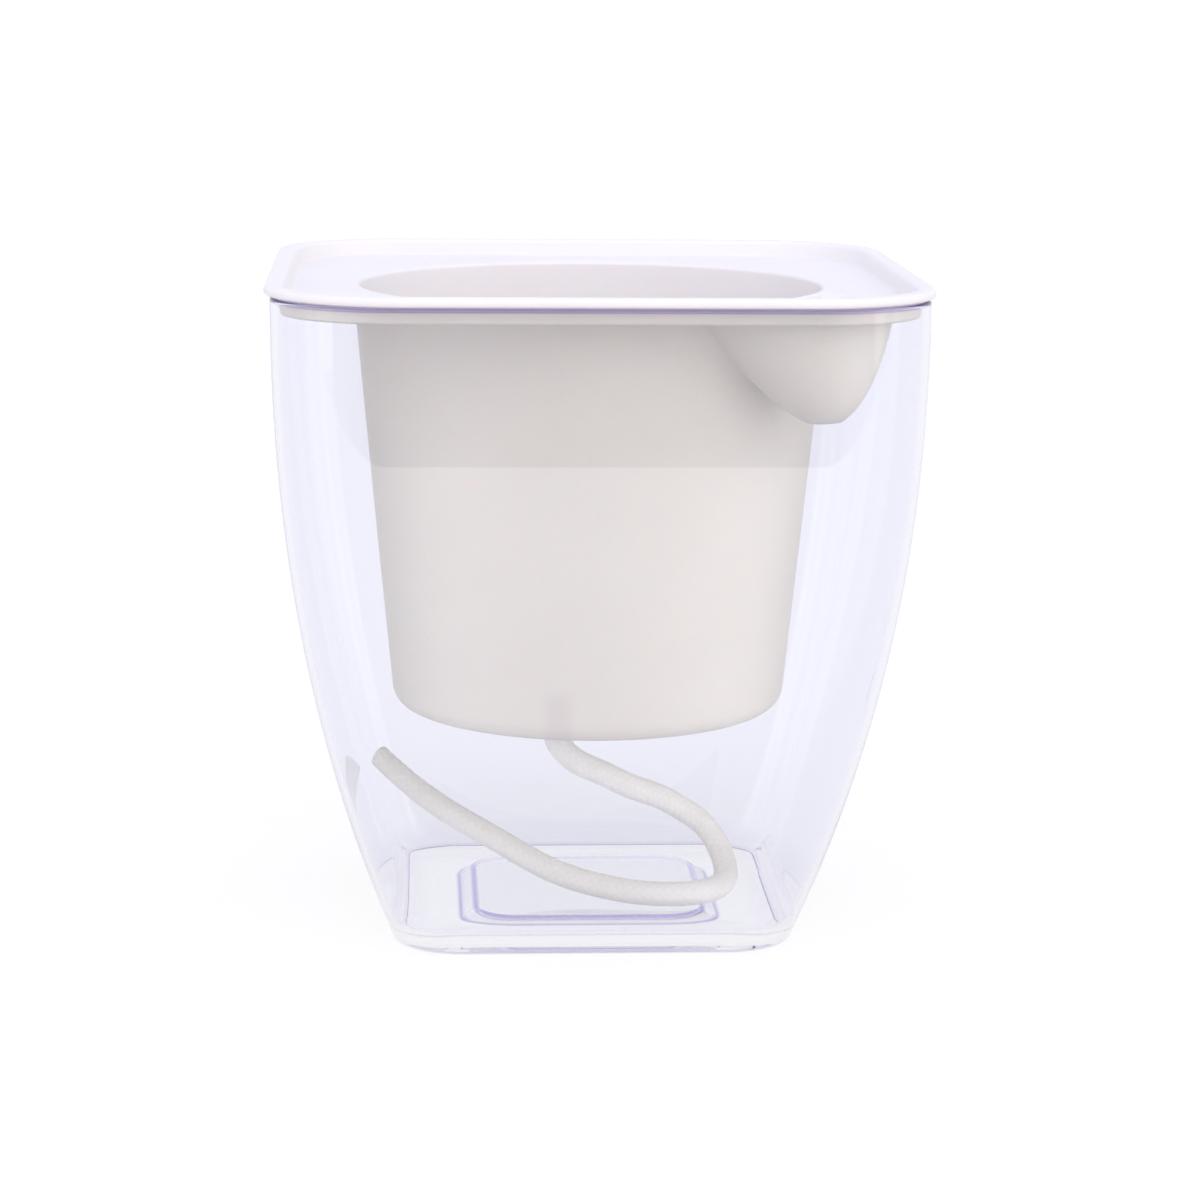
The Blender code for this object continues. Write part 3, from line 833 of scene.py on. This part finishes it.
@dataclass
class BraidedWick:
    """Braided cotton wick: through the pot's floor, down and round in the reservoir."""

    diameter: float = 0.0060
    valley_radius: float = 0.00289
    crest_radius: float = 0.00306
    strands: int = 8
    pitch: float = 0.0022
    # Height of the lower strands, and how full a strand's hump is across and along it
    lower_family: float = 0.6
    narrow_power: float = 0.75
    full_power: float = 0.4
    # Length of the rounding at a cut end, how far it closes, and its height in the braid
    cap: float = 0.0010
    cap_end: float = 0.97
    cap_relief: float = 0.3
    # A direction that the cord comes near but never takes
    fixed: Point = (0.55, 0.80, 0.22)
    around: int = 96
    rings: int = 900
    path_step: int = 10
    crease: float = math.radians(75.0)
    hole_height: float = 0.0516
    finish: BraidedCotton = BraidedCotton()
    route: tuple[Point, ...] = (
        (-0.0093, -0.0330, 0.0625),
        (-0.0093, -0.0330, 0.0570),
        (-0.0093, -0.0330, 0.0530),
        (-0.0092, -0.0330, 0.0505),
        (-0.0064, -0.0317, 0.0455),
        (0.0020, -0.0252, 0.0394),
        (0.0098, -0.0182, 0.0341),
        (0.0172, -0.0112, 0.0298),
        (0.0250, -0.0048, 0.0240),
        (0.0304, -0.0012, 0.0188),
        (0.0340, -0.0045, 0.0126),
        (0.0341, -0.0115, 0.0088),
        (0.0275, -0.0206, 0.0079),
        (0.0147, -0.0222, 0.0080),
        (0.0036, -0.0182, 0.0087),
        (-0.0087, -0.0112, 0.0109),
        (-0.0226, -0.0016, 0.0164),
        (-0.0361, 0.0054, 0.0229),
        (-0.0534, 0.0152, 0.0342),
    )

    def relief(self, around: np.ndarray, along: np.ndarray) -> np.ndarray:
        """Height of the braid, 0 between strands and 1 on top.

        Two families of strands cross at a = around + along and b = around - along, both
        counted in strands. In each cell of (a, b) one family is on top, in turns: its hump
        is full along its own length and narrow across. One family lies lower.

        Args:
            around: Place around the cord, in strands.
            along: Place along the cord, in pitches.

        Returns:
            The height at each place.
        """
        a, b = around + along, around - along
        over = (np.floor(a) + np.floor(b)) % 2 < 1
        across = np.sin(np.pi * (a % 1.0))
        length = np.sin(np.pi * (b % 1.0))
        narrow = np.where(over, across, length)
        full = np.where(over, length, across)
        return (narrow ** self.narrow_power * full ** self.full_power
                * np.where(over, 1.0, self.lower_family))

    def frames(self, centres: np.ndarray) -> tuple[np.ndarray, np.ndarray]:
        """Two directions across the cord that don't twist about it.

        A fixed direction made square to the cord gives a first frame. How fast that frame
        turns about the cord, added up along it, is turned back.

        Args:
            centres: Places along the cord.

        Returns:
            The two directions at each place.
        """
        ahead = np.gradient(centres, axis=0)
        ahead /= np.linalg.norm(ahead, axis=1, keepdims=True)
        fixed = np.array(self.fixed) / np.linalg.norm(self.fixed)
        first = fixed - ahead * (ahead @ fixed)[:, None]
        first /= np.linalg.norm(first, axis=1, keepdims=True)
        second = np.cross(ahead, first)
        turning = np.einsum("ij,ij->i", np.diff(first, axis=0),
                            (second[1:] + second[:-1]) / 2)
        angle = -np.concatenate(([0.0], np.cumsum(turning)))[:, None]
        return (np.cos(angle) * first + np.sin(angle) * second,
                np.cos(angle) * second - np.sin(angle) * first)

    def build(self) -> bpy.types.Object:
        """Build the cord as a tube with the braid's relief and soft cut ends, and dress it.

        Near each end the tube closes by (1 - t^3)^(1/3), t being the share of the cap.

        Returns:
            The finished wick.
        """
        centres, length = curve_through(np.array(self.route), self.rings)
        travelled = np.linspace(0.0, length, self.rings)
        first, second = self.frames(centres)
        to_end = np.minimum(travelled, length - travelled)
        share = np.clip(1 - to_end / self.cap, 0.0, self.cap_end)
        close = (1 - share ** 3) ** (1 / 3)
        place = np.arange(self.around) / self.around
        relief = self.relief(place[None, :] * self.strands,
                             travelled[:, None] / self.pitch)
        radius = (self.valley_radius + (self.crest_radius - self.valley_radius) * relief)
        radius = radius * close[:, None]
        turn = 2 * np.pi * place[None, :, None]
        rings = centres[:, None, :] + radius[:, :, None] * (
            np.cos(turn) * first[:, None, :] + np.sin(turn) * second[:, None, :])
        piece = skin("braided_wick", rings, Ends.POLES, centres[[0, -1]],
                     (np.arange(self.around + 1) / self.around * self.strands,
                      travelled / self.pitch))
        height = piece.data.attributes.new("braid_height", "FLOAT", "POINT")
        height.data.foreach_set("value", np.append(relief, [self.cap_relief] * 2))
        smooth(piece, self.crease)
        piece.data.materials.append(self.finish.material("braid_height"))
        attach(piece, Body.POT.value)
        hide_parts("wick")
        return piece


@dataclass
class InnerPot:
    """White inner pot in one moulding: square flange with a rounded lip, round tapered
    body, and a filling funnel under the front right corner of the flange's tray."""

    reservoir: ClearReservoir
    wick: BraidedWick
    touch_gap: float = 0.0003
    lip_overhang: float = 0.0015
    lip_height: float = 0.0022
    lip_width: float = 0.0046
    lip_rounding: float = 0.0012
    lip_corner_growth: float = 0.0045
    tray_depth: float = 0.0041
    tray_floor: float = 0.0022
    tray_draft: float = 0.0010
    pan_clearance: float = 0.0007
    pan_rounding: float = 0.0008
    top_radius: float = 0.0580
    bottom_radius: float = 0.0485
    depth: float = 0.1017
    body_wall: float = 0.0018
    body_floor: float = 0.0020
    foot_rounding: float = 0.0050
    mouth_rounding: float = 0.0010
    funnel_depth: float = 0.0258
    funnel_radius: float = 0.0234
    funnel_belly: float = 1.8
    funnel_wall: float = 0.0018
    funnel_margin: float = 0.0072
    funnel_lean: float = 0.0098
    funnel_side_wall: float = 0.0014
    drain_radius: float = 0.0040
    hole_clearance: float = 0.0004
    edge: float = 0.0003
    joint_rounding: float = 0.0020
    bowl_edge: float = 0.0007
    # The funnel's inner side wall: its ledge, its edges, and how much of a low wall they take
    side_ledge: float = 0.0002
    side_rounding: float = 0.0006
    side_step: float = 0.0001
    side_share: float = 0.45
    # Columns added at the corners and over the funnel: how many, and over what angle
    corner_columns: tuple[float, float] = (1.2, 0.22)
    funnel_columns: tuple[float, float] = (2.4, 0.40)
    around: int = 360
    # Steps along each stretch
    edge_steps: int = 4
    floor_steps: int = 9
    foot_steps: int = 9
    wall_steps: int = 14
    joint_steps: int = 8
    pan_steps: int = 60
    rounding_steps: int = 6
    crown_steps: int = 8
    tray_steps: int = 72
    side_edge_steps: int = 5
    side_steps: int = 6
    mouth_steps: int = 7
    inside_steps: int = 13
    inner_foot_steps: int = 7
    drain_steps: int = 72
    # The bowl's profile: its first share of the radius, its rows, and how often the
    # heights over its leaning axis and at the pan's joint are worked out again
    bowl_start: float = 0.04
    bowl_rows: int = 240
    bowl_repeats: int = 60
    joint_repeats: int = 30
    crease: float = math.radians(38.0)
    finish: WhitePlastic = WhitePlastic()

    def __post_init__(self) -> None:
        """Work out the heights and widths that follow from the sizes."""
        cup = self.reservoir
        self.lip_bottom = cup.height + self.touch_gap
        self.lip_top = self.lip_bottom + self.lip_height
        self.tray_top = self.lip_top - self.tray_depth
        self.pan_bottom = self.tray_top - self.tray_floor
        self.bottom = self.pan_bottom - self.depth
        self.flange_half = cup.rim_half + self.lip_overhang
        self.flange_corner = cup.rim_corner + self.lip_corner_growth
        inset = cup.wall + self.pan_clearance
        self.pan_half = cup.rim_half - inset
        self.pan_corner = cup.rim_corner - inset
        corner_reach = (self.pan_half - self.pan_corner) * math.sqrt(2) + self.pan_corner
        self.funnel_reach = corner_reach - self.funnel_margin - self.funnel_radius
        self.mouth_radius = self.top_radius - self.body_wall
        self.angles = self.directions()
        self.unit = np.stack([np.cos(self.angles), np.sin(self.angles)], axis=1)
        wall_top = self.pan_bottom + self.tray_floor / 2
        taper = (self.top_radius - self.bottom_radius) / self.depth
        self.outer = ((self.bottom_radius, self.bottom + self.foot_rounding),
                      (self.top_radius + taper * self.tray_floor / 2, wall_top))
        inner_foot = self.foot_rounding - self.body_wall
        self.inner = ((self.bottom_radius - self.body_wall,
                       self.bottom + self.body_floor + inner_foot),
                      (self.mouth_radius, self.tray_top - self.mouth_rounding))

    def directions(self) -> np.ndarray:
        """Angles of the columns: closer together at the corners, closest over the funnel.

        The density is 1, plus a bell at each corner, plus a flat-topped bell at the funnel,
        and the columns share its running total evenly.

        Returns:
            The angles, in radians.
        """
        fine = np.linspace(-math.pi, math.pi, TURN_PLACES)
        corner_share, corner_reach = self.corner_columns
        funnel_share, funnel_reach = self.funnel_columns
        corner = np.exp(-((fine % QUARTER - OCTANT) / corner_reach) ** 2)
        funnel = np.exp(-((fine + OCTANT) / funnel_reach) ** 4)
        density = 1.0 + corner_share * corner + funnel_share * funnel
        total = np.concatenate(([0.0], np.cumsum((density[1:] + density[:-1]) / 2)))
        share = np.arange(self.around) / self.around * total[-1]
        return np.interp(share, total, fine)

    def lift(self, reach: np.ndarray, height: np.ndarray | float) -> np.ndarray:
        """Points (ring, column, xyz) at a reach along each column and a height."""
        reach, height = np.broadcast_arrays(reach, height)
        return np.concatenate([reach[..., None] * self.unit, height[..., None]], axis=-1)

    def turned(self, line: np.ndarray) -> np.ndarray:
        """Rings of a line of (radius, height) turned about the axis."""
        radius = np.broadcast_to(line[:, :1], (len(line), self.around))
        return self.lift(radius, line[:, 1:])

    def squared(self, line: np.ndarray, half: float, corner: float) -> np.ndarray:
        """Rings of a line of (half width, height) carried round the flange.

        Args:
            line: Rows of (half width, height).
            half: A half width at which the corner radius is known.
            corner: The corner radius there; the others are set off evenly from it.

        Returns:
            The rings.
        """
        reach = square_reach(self.angles, line[:, 0], corner + line[:, 0] - half)
        return self.lift(reach, line[:, 1:])

    def wall_radius(self, line: Line, height: np.ndarray) -> np.ndarray:
        """Radius of a straight wall, given by two points (radius, height), at a height."""
        (low_radius, low), (high_radius, high) = line
        return low_radius + (height - low) * (high_radius - low_radius) / (high - low)

    def foot(self, line: Line, floor: float, radius: float, steps: int) -> np.ndarray:
        """Rounding between a level floor and a leaning wall, going outwards and up.

        Args:
            line: The straight wall, by two points (radius, height).
            floor: Height of the level floor.
            radius: Radius of the rounding.
            steps: Number of steps along it.

        Returns:
            Rows of (radius, height).
        """
        (low_radius, low), (high_radius, high) = line
        lean = math.atan((high_radius - low_radius) / (high - low))
        touch = floor + radius * (1 - math.sin(lean))
        centre = float(self.wall_radius(line, touch)) - radius * math.cos(lean)
        return arc((centre, floor + radius), radius, -QUARTER, -lean, steps)

    def bowl_depth(self, xy: np.ndarray, inset: float) -> np.ndarray:
        """How far the funnel's bowl lies below the pan's underside, negative above it.

        About its axis the bowl's height is depth (share^belly - 1) at share times its
        radius, set in along its normal. Its axis leans out along the diagonal, so the
        height over a point is found by repeating: height from the distance to the axis at
        the last height.

        Args:
            xy: Points seen from above.
            inset: Distance in from the outer face.

        Returns:
            The depth at each point.
        """
        share = np.linspace(self.bowl_start, 1.0, self.bowl_rows)
        steep = (self.funnel_belly * self.funnel_depth / self.funnel_radius
                 * share ** (self.funnel_belly - 1))
        slant = np.hypot(1.0, steep)
        reach = self.funnel_radius * share - inset * steep / slant
        level = self.funnel_depth * (share ** self.funnel_belly - 1) + inset / slant
        reach, level, steep = reach[reach > 0], level[reach > 0], steep[reach > 0]
        along = (xy[..., 0] - xy[..., 1]) / math.sqrt(2)
        aside = (xy[..., 0] + xy[..., 1]) / math.sqrt(2)
        height = np.zeros_like(along)
        for _ in range(self.bowl_repeats):
            axis = self.funnel_reach - self.funnel_lean / self.funnel_depth * height
            away = np.hypot(along - axis, aside)
            beyond = level[-1] + (away - reach[-1]) * steep[-1]
            height = np.where(away > reach[-1], beyond, np.interp(away, reach, level))
        return -height

    def pan_height(self, reach: np.ndarray) -> np.ndarray:
        """Height of the pan's underside, with the bowl below it, at a reach per column."""
        depth = self.bowl_depth(reach[..., None] * self.unit, 0.0)
        return self.pan_bottom - blend_above_zero(depth, self.bowl_edge)

    def tray_height(self, reach: np.ndarray) -> np.ndarray:
        """Height of the tray's floor, with the bowl's hollow, at a reach per column."""
        depth = self.bowl_depth(reach[..., None] * self.unit, self.funnel_wall)
        return self.tray_top - blend_above_zero(depth + self.tray_floor, self.bowl_edge)

    def floor_rings(self, height: float, edge_radius: float) -> np.ndarray:
        """Level rings from the wick hole out to the round floor's edge.

        Their centres slide from the hole to the axis as their radii grow, so that they
        never cross.

        Args:
            height: Height of the floor's face.
            edge_radius: Radius of the last ring.

        Returns:
            The rings.
        """
        hole = np.array(self.wick.route[0][:2])
        share = np.linspace(0.0, 1.0, self.floor_steps + 1)[:, None, None]
        radius = self.hole_radius + self.edge
        level = (1 - share) * (hole + radius * self.unit) + share * edge_radius * self.unit
        return np.concatenate([level, np.full((*level.shape[:2], 1), height)], axis=2)

    @property
    def hole_radius(self) -> float:
        """Radius of the hole that the wick passes."""
        return self.wick.diameter / 2 + self.hole_clearance

    def hole_wall(self) -> np.ndarray:
        """Rings down the wick hole, its edges softened.

        Returns:
            The rings.
        """
        top, low, soft = self.bottom + self.body_floor, self.bottom, self.edge
        radius = self.hole_radius
        line = np.concatenate([
            bend(np.array([radius + soft, top]), np.array([radius, top]),
                 np.array([radius, top - soft]), self.edge_steps)[1:],
            bend(np.array([radius, low + soft]), np.array([radius, low]),
                 np.array([radius + soft, low]), self.edge_steps)[:-1]])
        hole = np.array([*self.wick.route[0][:2], 0.0])
        return self.turned(line) + hole

    def underside(self) -> np.ndarray:
        """Rings of the floor's underside, the foot, the outer wall, the soft joint with the
        pan, and the pan's underside with the bowl, out to the pan's edge.

        The joint is where the leaning wall meets the pan, found by repeating: the wall's
        radius at a height, and the pan's height at that radius.

        Returns:
            The rings.
        """
        foot = self.foot(self.outer, self.bottom, self.foot_rounding, self.foot_steps)
        height = np.full(self.around, self.pan_bottom)
        for _ in range(self.joint_repeats):
            height = self.pan_height(self.wall_radius(self.outer, height))
        reach = self.wall_radius(self.outer, height)
        below = height - self.joint_rounding
        share = np.linspace(0.0, 1.0, self.wall_steps + 1)[1:-1, None]
        wall = foot[-1, 1] + share * (below - foot[-1, 1])
        low = np.stack([self.wall_radius(self.outer, below), below])
        start = reach + self.joint_rounding
        high = np.stack([start, self.pan_height(start)])
        joint = bend(low, np.stack([reach, height]), high, self.joint_steps)
        edge = self.pan_half - self.pan_rounding
        edge_corner = self.pan_corner - self.pan_rounding
        last = square_reach(self.angles, edge, edge_corner)[0]
        share = np.linspace(0.0, 1.0, self.pan_steps + 1)[1:-1, None]
        across = start + share * (last - start)
        return np.concatenate([
            self.floor_rings(self.bottom, foot[0, 0])[:-1], self.turned(foot),
            self.lift(self.wall_radius(self.outer, wall), wall),
            self.lift(joint[:, 0], joint[:, 1]),
            self.lift(across, self.pan_height(across))])

    def lip(self) -> np.ndarray:
        """Rings round the pan's side and the lip, down to the tray's floor.

        Returns:
            The rings.
        """
        soft, crown = self.pan_rounding, self.lip_rounding
        few, many = self.rounding_steps, self.crown_steps
        pan = np.concatenate([
            arc((self.pan_half - soft, self.pan_bottom + soft), soft, -QUARTER, 0.0, few),
            [[self.pan_half, self.lip_bottom - self.edge],
             [self.pan_half, self.lip_bottom - 0.1 * self.edge]]])
        inner = self.flange_half - self.lip_width
        foot = inner - self.tray_draft - soft
        line = np.concatenate([
            [[self.pan_half + 2 * self.edge, self.lip_bottom]],
            arc((self.flange_half - soft, self.lip_bottom + soft), soft, -QUARTER, 0.0, few),
            arc((self.flange_half - crown, self.lip_top - crown), crown, 0.0, QUARTER, many),
            arc((inner + crown, self.lip_top - crown), crown, QUARTER, 2 * QUARTER, many),
            arc((foot, self.tray_top + soft), soft, 0.0, -QUARTER, few)])
        return np.concatenate([self.squared(pan, self.pan_half, self.pan_corner),
                               self.squared(line, self.flange_half, self.flange_corner)])

    def topside(self) -> np.ndarray:
        """Rings across the tray's floor with the bowl, up the funnel's side wall, over the
        mouth and down the inside of the pot to the wick hole.

        Returns:
            The rings.
        """
        half = self.flange_half - self.lip_width - self.tray_draft - self.pan_rounding
        corner = self.flange_corner + half - self.flange_half
        start = square_reach(self.angles, half, corner)[0]
        base = (self.mouth_radius + self.mouth_rounding + self.funnel_side_wall
                + self.side_ledge)
        crest, soft = base - self.edge, self.side_rounding
        end = base + soft
        share = np.linspace(0.0, 1.0, self.tray_steps + 1)[1:-1, None]
        across = start + share * (end - start)
        full = np.ones(self.around)
        drop = self.tray_top - self.tray_height(base * full)
        rise = np.minimum(soft, self.side_share * drop)
        foot = bend(np.stack([end * full, self.tray_height(end * full)]),
                    np.stack([base * full, self.tray_top - drop]),
                    np.stack([(base - self.side_step) * full,
                              self.tray_top - drop + rise]), self.side_edge_steps)
        head = bend(np.stack([(crest + self.side_step) * full, self.tray_top - rise]),
                    np.stack([crest * full, self.tray_top * full]),
                    np.stack([(crest - soft) * full, self.tray_top * full]),
                    self.side_edge_steps)
        share = np.linspace(0.0, 1.0, self.side_steps + 1)[1:-1, None, None]
        side = foot[-1] + share * (head[0] - foot[-1])
        rim = arc((self.mouth_radius + self.mouth_rounding, self.tray_top
                   - self.mouth_rounding), self.mouth_rounding, QUARTER, 2 * QUARTER,
                  self.mouth_steps)
        inner_foot = self.foot(self.inner, self.bottom + self.body_floor,
                               self.foot_rounding - self.body_wall,
                               self.inner_foot_steps)[::-1]
        share = np.linspace(0.0, 1.0, self.inside_steps + 1)[1:-1]
        wall = rim[-1, 1] + share * (inner_foot[0, 1] - rim[-1, 1])
        inside = np.stack([self.wall_radius(self.inner, wall), wall], axis=1)
        floor = self.floor_rings(self.bottom + self.body_floor, inner_foot[-1, 0])
        return np.concatenate([
            self.lift(across, self.tray_height(across)), self.lift(foot[:, 0], foot[:, 1]),
            self.lift(side[:, 0], side[:, 1]), self.lift(head[:, 0], head[:, 1]),
            self.turned(np.concatenate([rim, inside, inner_foot])), floor[::-1][1:]])

    def drain(self, piece: bpy.types.Object) -> None:
        """Cut the round drain hole through the bottom of the funnel.

        Args:
            piece: The pot, whose mesh is replaced by the one with the hole.
        """
        reach = (self.funnel_reach + self.funnel_lean) / math.sqrt(2)
        low = self.pan_bottom - self.funnel_depth
        turn = np.linspace(0.0, 2 * math.pi, self.drain_steps + 1)[:-1]
        circle = np.stack([np.cos(turn), np.sin(turn)], axis=1) * self.drain_radius
        circle += np.array([reach, -reach])
        heights = np.array([low - self.funnel_wall, low + 3 * self.funnel_wall])
        rings = np.stack([np.column_stack([circle, np.full(len(turn), height)])
                          for height in heights])
        poles = np.array([[reach, -reach, height] for height in heights])
        tool = skin("drain_tool", rings, Ends.POLES, poles)
        cut = piece.modifiers.new("drain", "BOOLEAN")
        cut.operation, cut.solver, cut.object = "DIFFERENCE", "EXACT", tool
        bpy.context.view_layer.update()
        evaluated = piece.evaluated_get(bpy.context.evaluated_depsgraph_get())
        plain = piece.data
        piece.data = bpy.data.meshes.new_from_object(evaluated)
        piece.modifiers.remove(cut)
        bpy.data.meshes.remove(plain)
        bpy.data.objects.remove(tool, do_unlink=True)

    def build(self) -> bpy.types.Object:
        """Build the pot as one closed skin, cut its drain and dress it.

        Returns:
            The finished inner pot.
        """
        rings = np.concatenate([self.underside(), self.lip(), self.topside(),
                                self.hole_wall()])
        piece = skin("white_inner_pot", rings, Ends.JOINED)
        self.drain(piece)
        smooth(piece, self.crease)
        piece.data.materials.clear()
        piece.data.materials.append(
            self.finish.material(self.wick.route[0], self.wick.diameter / 2))
        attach(piece, Body.POT.value)
        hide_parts("inner_pot")
        return piece


@dataclass(frozen=True)
class SoftLamp:
    """A far, wide lamp: its strength, where it stands and how wide it looks."""

    name: str
    strength: float
    colour: Colour
    elevation: float
    azimuth: float
    spread: float

    def build(self) -> bpy.types.Object:
        """Add the lamp.

        Returns:
            The lamp object, turned to the origin. Azimuth 0 is the front, and a positive
            one lies to the right.
        """
        lamp = bpy.data.lights.new(self.name, "SUN")
        lamp.energy, lamp.color, lamp.angle = self.strength, self.colour, self.spread
        holder = bpy.data.objects.new(self.name, lamp)
        bpy.context.scene.collection.objects.link(holder)
        level = math.cos(self.elevation)
        towards = Vector((math.sin(self.azimuth) * level, -math.cos(self.azimuth) * level,
                          math.sin(self.elevation)))
        holder.rotation_euler = towards.to_track_quat("Z", "Y").to_euler()
        return holder


@dataclass
class Studio:
    """Camera at the photograph's viewpoint, a pale floor and plain soft light."""

    eye: Point = (-0.0439857, -0.8290753, 0.2375382)
    yaw: float = -0.0566
    pitch: float = 0.1912
    roll: float = 0.0092
    image_width: float = 1200.0
    focal_pixels: float = 3409.94
    sensor: float = 36.0
    floor_side: float = 15.0
    floor_front: float = -0.475
    screen_place: float = -1.6
    screen_side: float = 2.4
    screen_span: tuple[float, float] = (-0.9, 1.1)
    sky: float = 0.83
    sky_colour: Colour = (0.90, 0.93, 1.18)
    inner_bounces: int = 400
    floor_finish: StudioFloor = StudioFloor()
    screen_finish: StudioScreen = StudioScreen()
    lamps: tuple[SoftLamp, ...] = (
        SoftLamp("top", 0.38, (0.88, 0.96, 1.30), math.radians(72.0), 0.0,
                 math.radians(25.0)),
        SoftLamp("front", 0.50, (1.0, 0.92, 0.77), math.radians(22.0), 0.0,
                 math.radians(60.0)),
        SoftLamp("left", 0.38, (1.0, 0.92, 0.77), math.radians(22.0),
                 math.radians(-62.0), math.radians(60.0)),
        SoftLamp("right", 0.66, (1.0, 0.92, 0.77), math.radians(22.0),
                 math.radians(55.0), math.radians(60.0)),
    )

    def camera(self) -> bpy.types.Object:
        """Place the camera by its turn, tilt and roll.

        Returns:
            The camera object.
        """
        turn = (math.cos(self.yaw), math.sin(self.yaw))
        ahead = Vector((-turn[1] * math.cos(self.pitch), turn[0] * math.cos(self.pitch),
                        -math.sin(self.pitch)))
        level = Vector((*turn, 0.0))
        upright = level.cross(ahead)
        right = math.cos(self.roll) * level + math.sin(self.roll) * upright
        up = math.cos(self.roll) * upright - math.sin(self.roll) * level
        matrix = Matrix((right, up, -ahead)).transposed().to_4x4()
        matrix.translation = Vector(self.eye)
        lens = bpy.data.cameras.new("camera")
        lens.sensor_width = self.sensor
        lens.lens = self.sensor * self.focal_pixels / self.image_width
        lens.clip_end = 100.0
        camera = bpy.data.objects.new("camera", lens)
        bpy.context.scene.collection.objects.link(camera)
        camera.matrix_world = matrix
        bpy.context.scene.camera = camera
        return camera

    def floor(self) -> bpy.types.Object:
        """Lay the floor, which isn't part of the object and ends at a front edge.

        Returns:
            The floor.
        """
        mesh = bpy.data.meshes.new("studio_floor")
        x, y = np.meshgrid(np.linspace(-self.floor_side, self.floor_side, 5),
                           np.linspace(self.floor_front, self.floor_side, 5))
        corner = (np.arange(4)[:, None] * 5 + np.arange(4)).ravel()
        faces = np.stack([corner, corner + 1, corner + 6, corner + 5], axis=1)
        mesh.from_pydata(np.stack([x, y, 0 * x], axis=-1).reshape(-1, 3).tolist(), [],
                         faces.tolist())
        mesh.materials.append(self.floor_finish.material())
        floor = place_mesh("studio_floor", mesh)
        return floor

    def screen(self) -> bpy.types.Object:
        """Stand the dark screen behind the camera, where only mirrored rays find it.

        Returns:
            The screen.
        """
        mesh = bpy.data.meshes.new("studio_screen")
        low, high = self.screen_span
        corners = [(-self.screen_side, self.screen_place, low),
                   (-self.screen_side, self.screen_place, high),
                   (self.screen_side, self.screen_place, high),
                   (self.screen_side, self.screen_place, low)]
        mesh.from_pydata(corners, [], [(0, 1, 2, 3)])
        mesh.materials.append(self.screen_finish.material())
        screen = place_mesh("studio_screen", mesh)
        screen.visible_camera = screen.visible_diffuse = screen.visible_shadow = False
        return screen

    def sky_light(self) -> None:
        """Set a white world: full for the eye, plainer as a light on the object."""
        world = bpy.data.worlds.new("studio")
        bpy.context.scene.world = world
        nodes = NodeTree(world)
        seen = seen_by_eye(nodes)
        colour = nodes.mix(seen, (*self.sky_colour, 1.0), (1.0, 1.0, 1.0, 1.0))
        light = nodes.add("ShaderNodeBackground", {
            "Color": colour, "Strength": nodes.spread(seen, 0.0, 1.0, self.sky, 1.0)})
        nodes.output("ShaderNodeOutputWorld", Surface=light.outputs[0])

    def build(self) -> None:
        """Set up the camera, the floor and the light."""
        self.camera()
        self.floor()
        self.screen()
        self.sky_light()
        for lamp in self.lamps:
            lamp.build()
        cycles = bpy.context.scene.cycles
        cycles.max_bounces = cycles.glossy_bounces = self.inner_bounces
        cycles.transmission_bounces = cycles.transparent_max_bounces = self.inner_bounces
        bpy.context.scene.view_settings.view_transform = "Standard"


def main() -> None:
    """Build the studio and the three pieces in order and report each of them."""
    logging.basicConfig(level=logging.INFO, format="%(name)s: %(message)s")
    Studio().build()
    reservoir = ClearReservoir()
    wick = BraidedWick()
    for part in (wick, reservoir, InnerPot(reservoir, wick)):
        piece = part.build()
        triangles = sum(len(face.vertices) - 2 for face in piece.data.polygons)
        LOG.info("%s: %d triangles", piece.name, triangles)


if __name__ == "__main__":
    main()
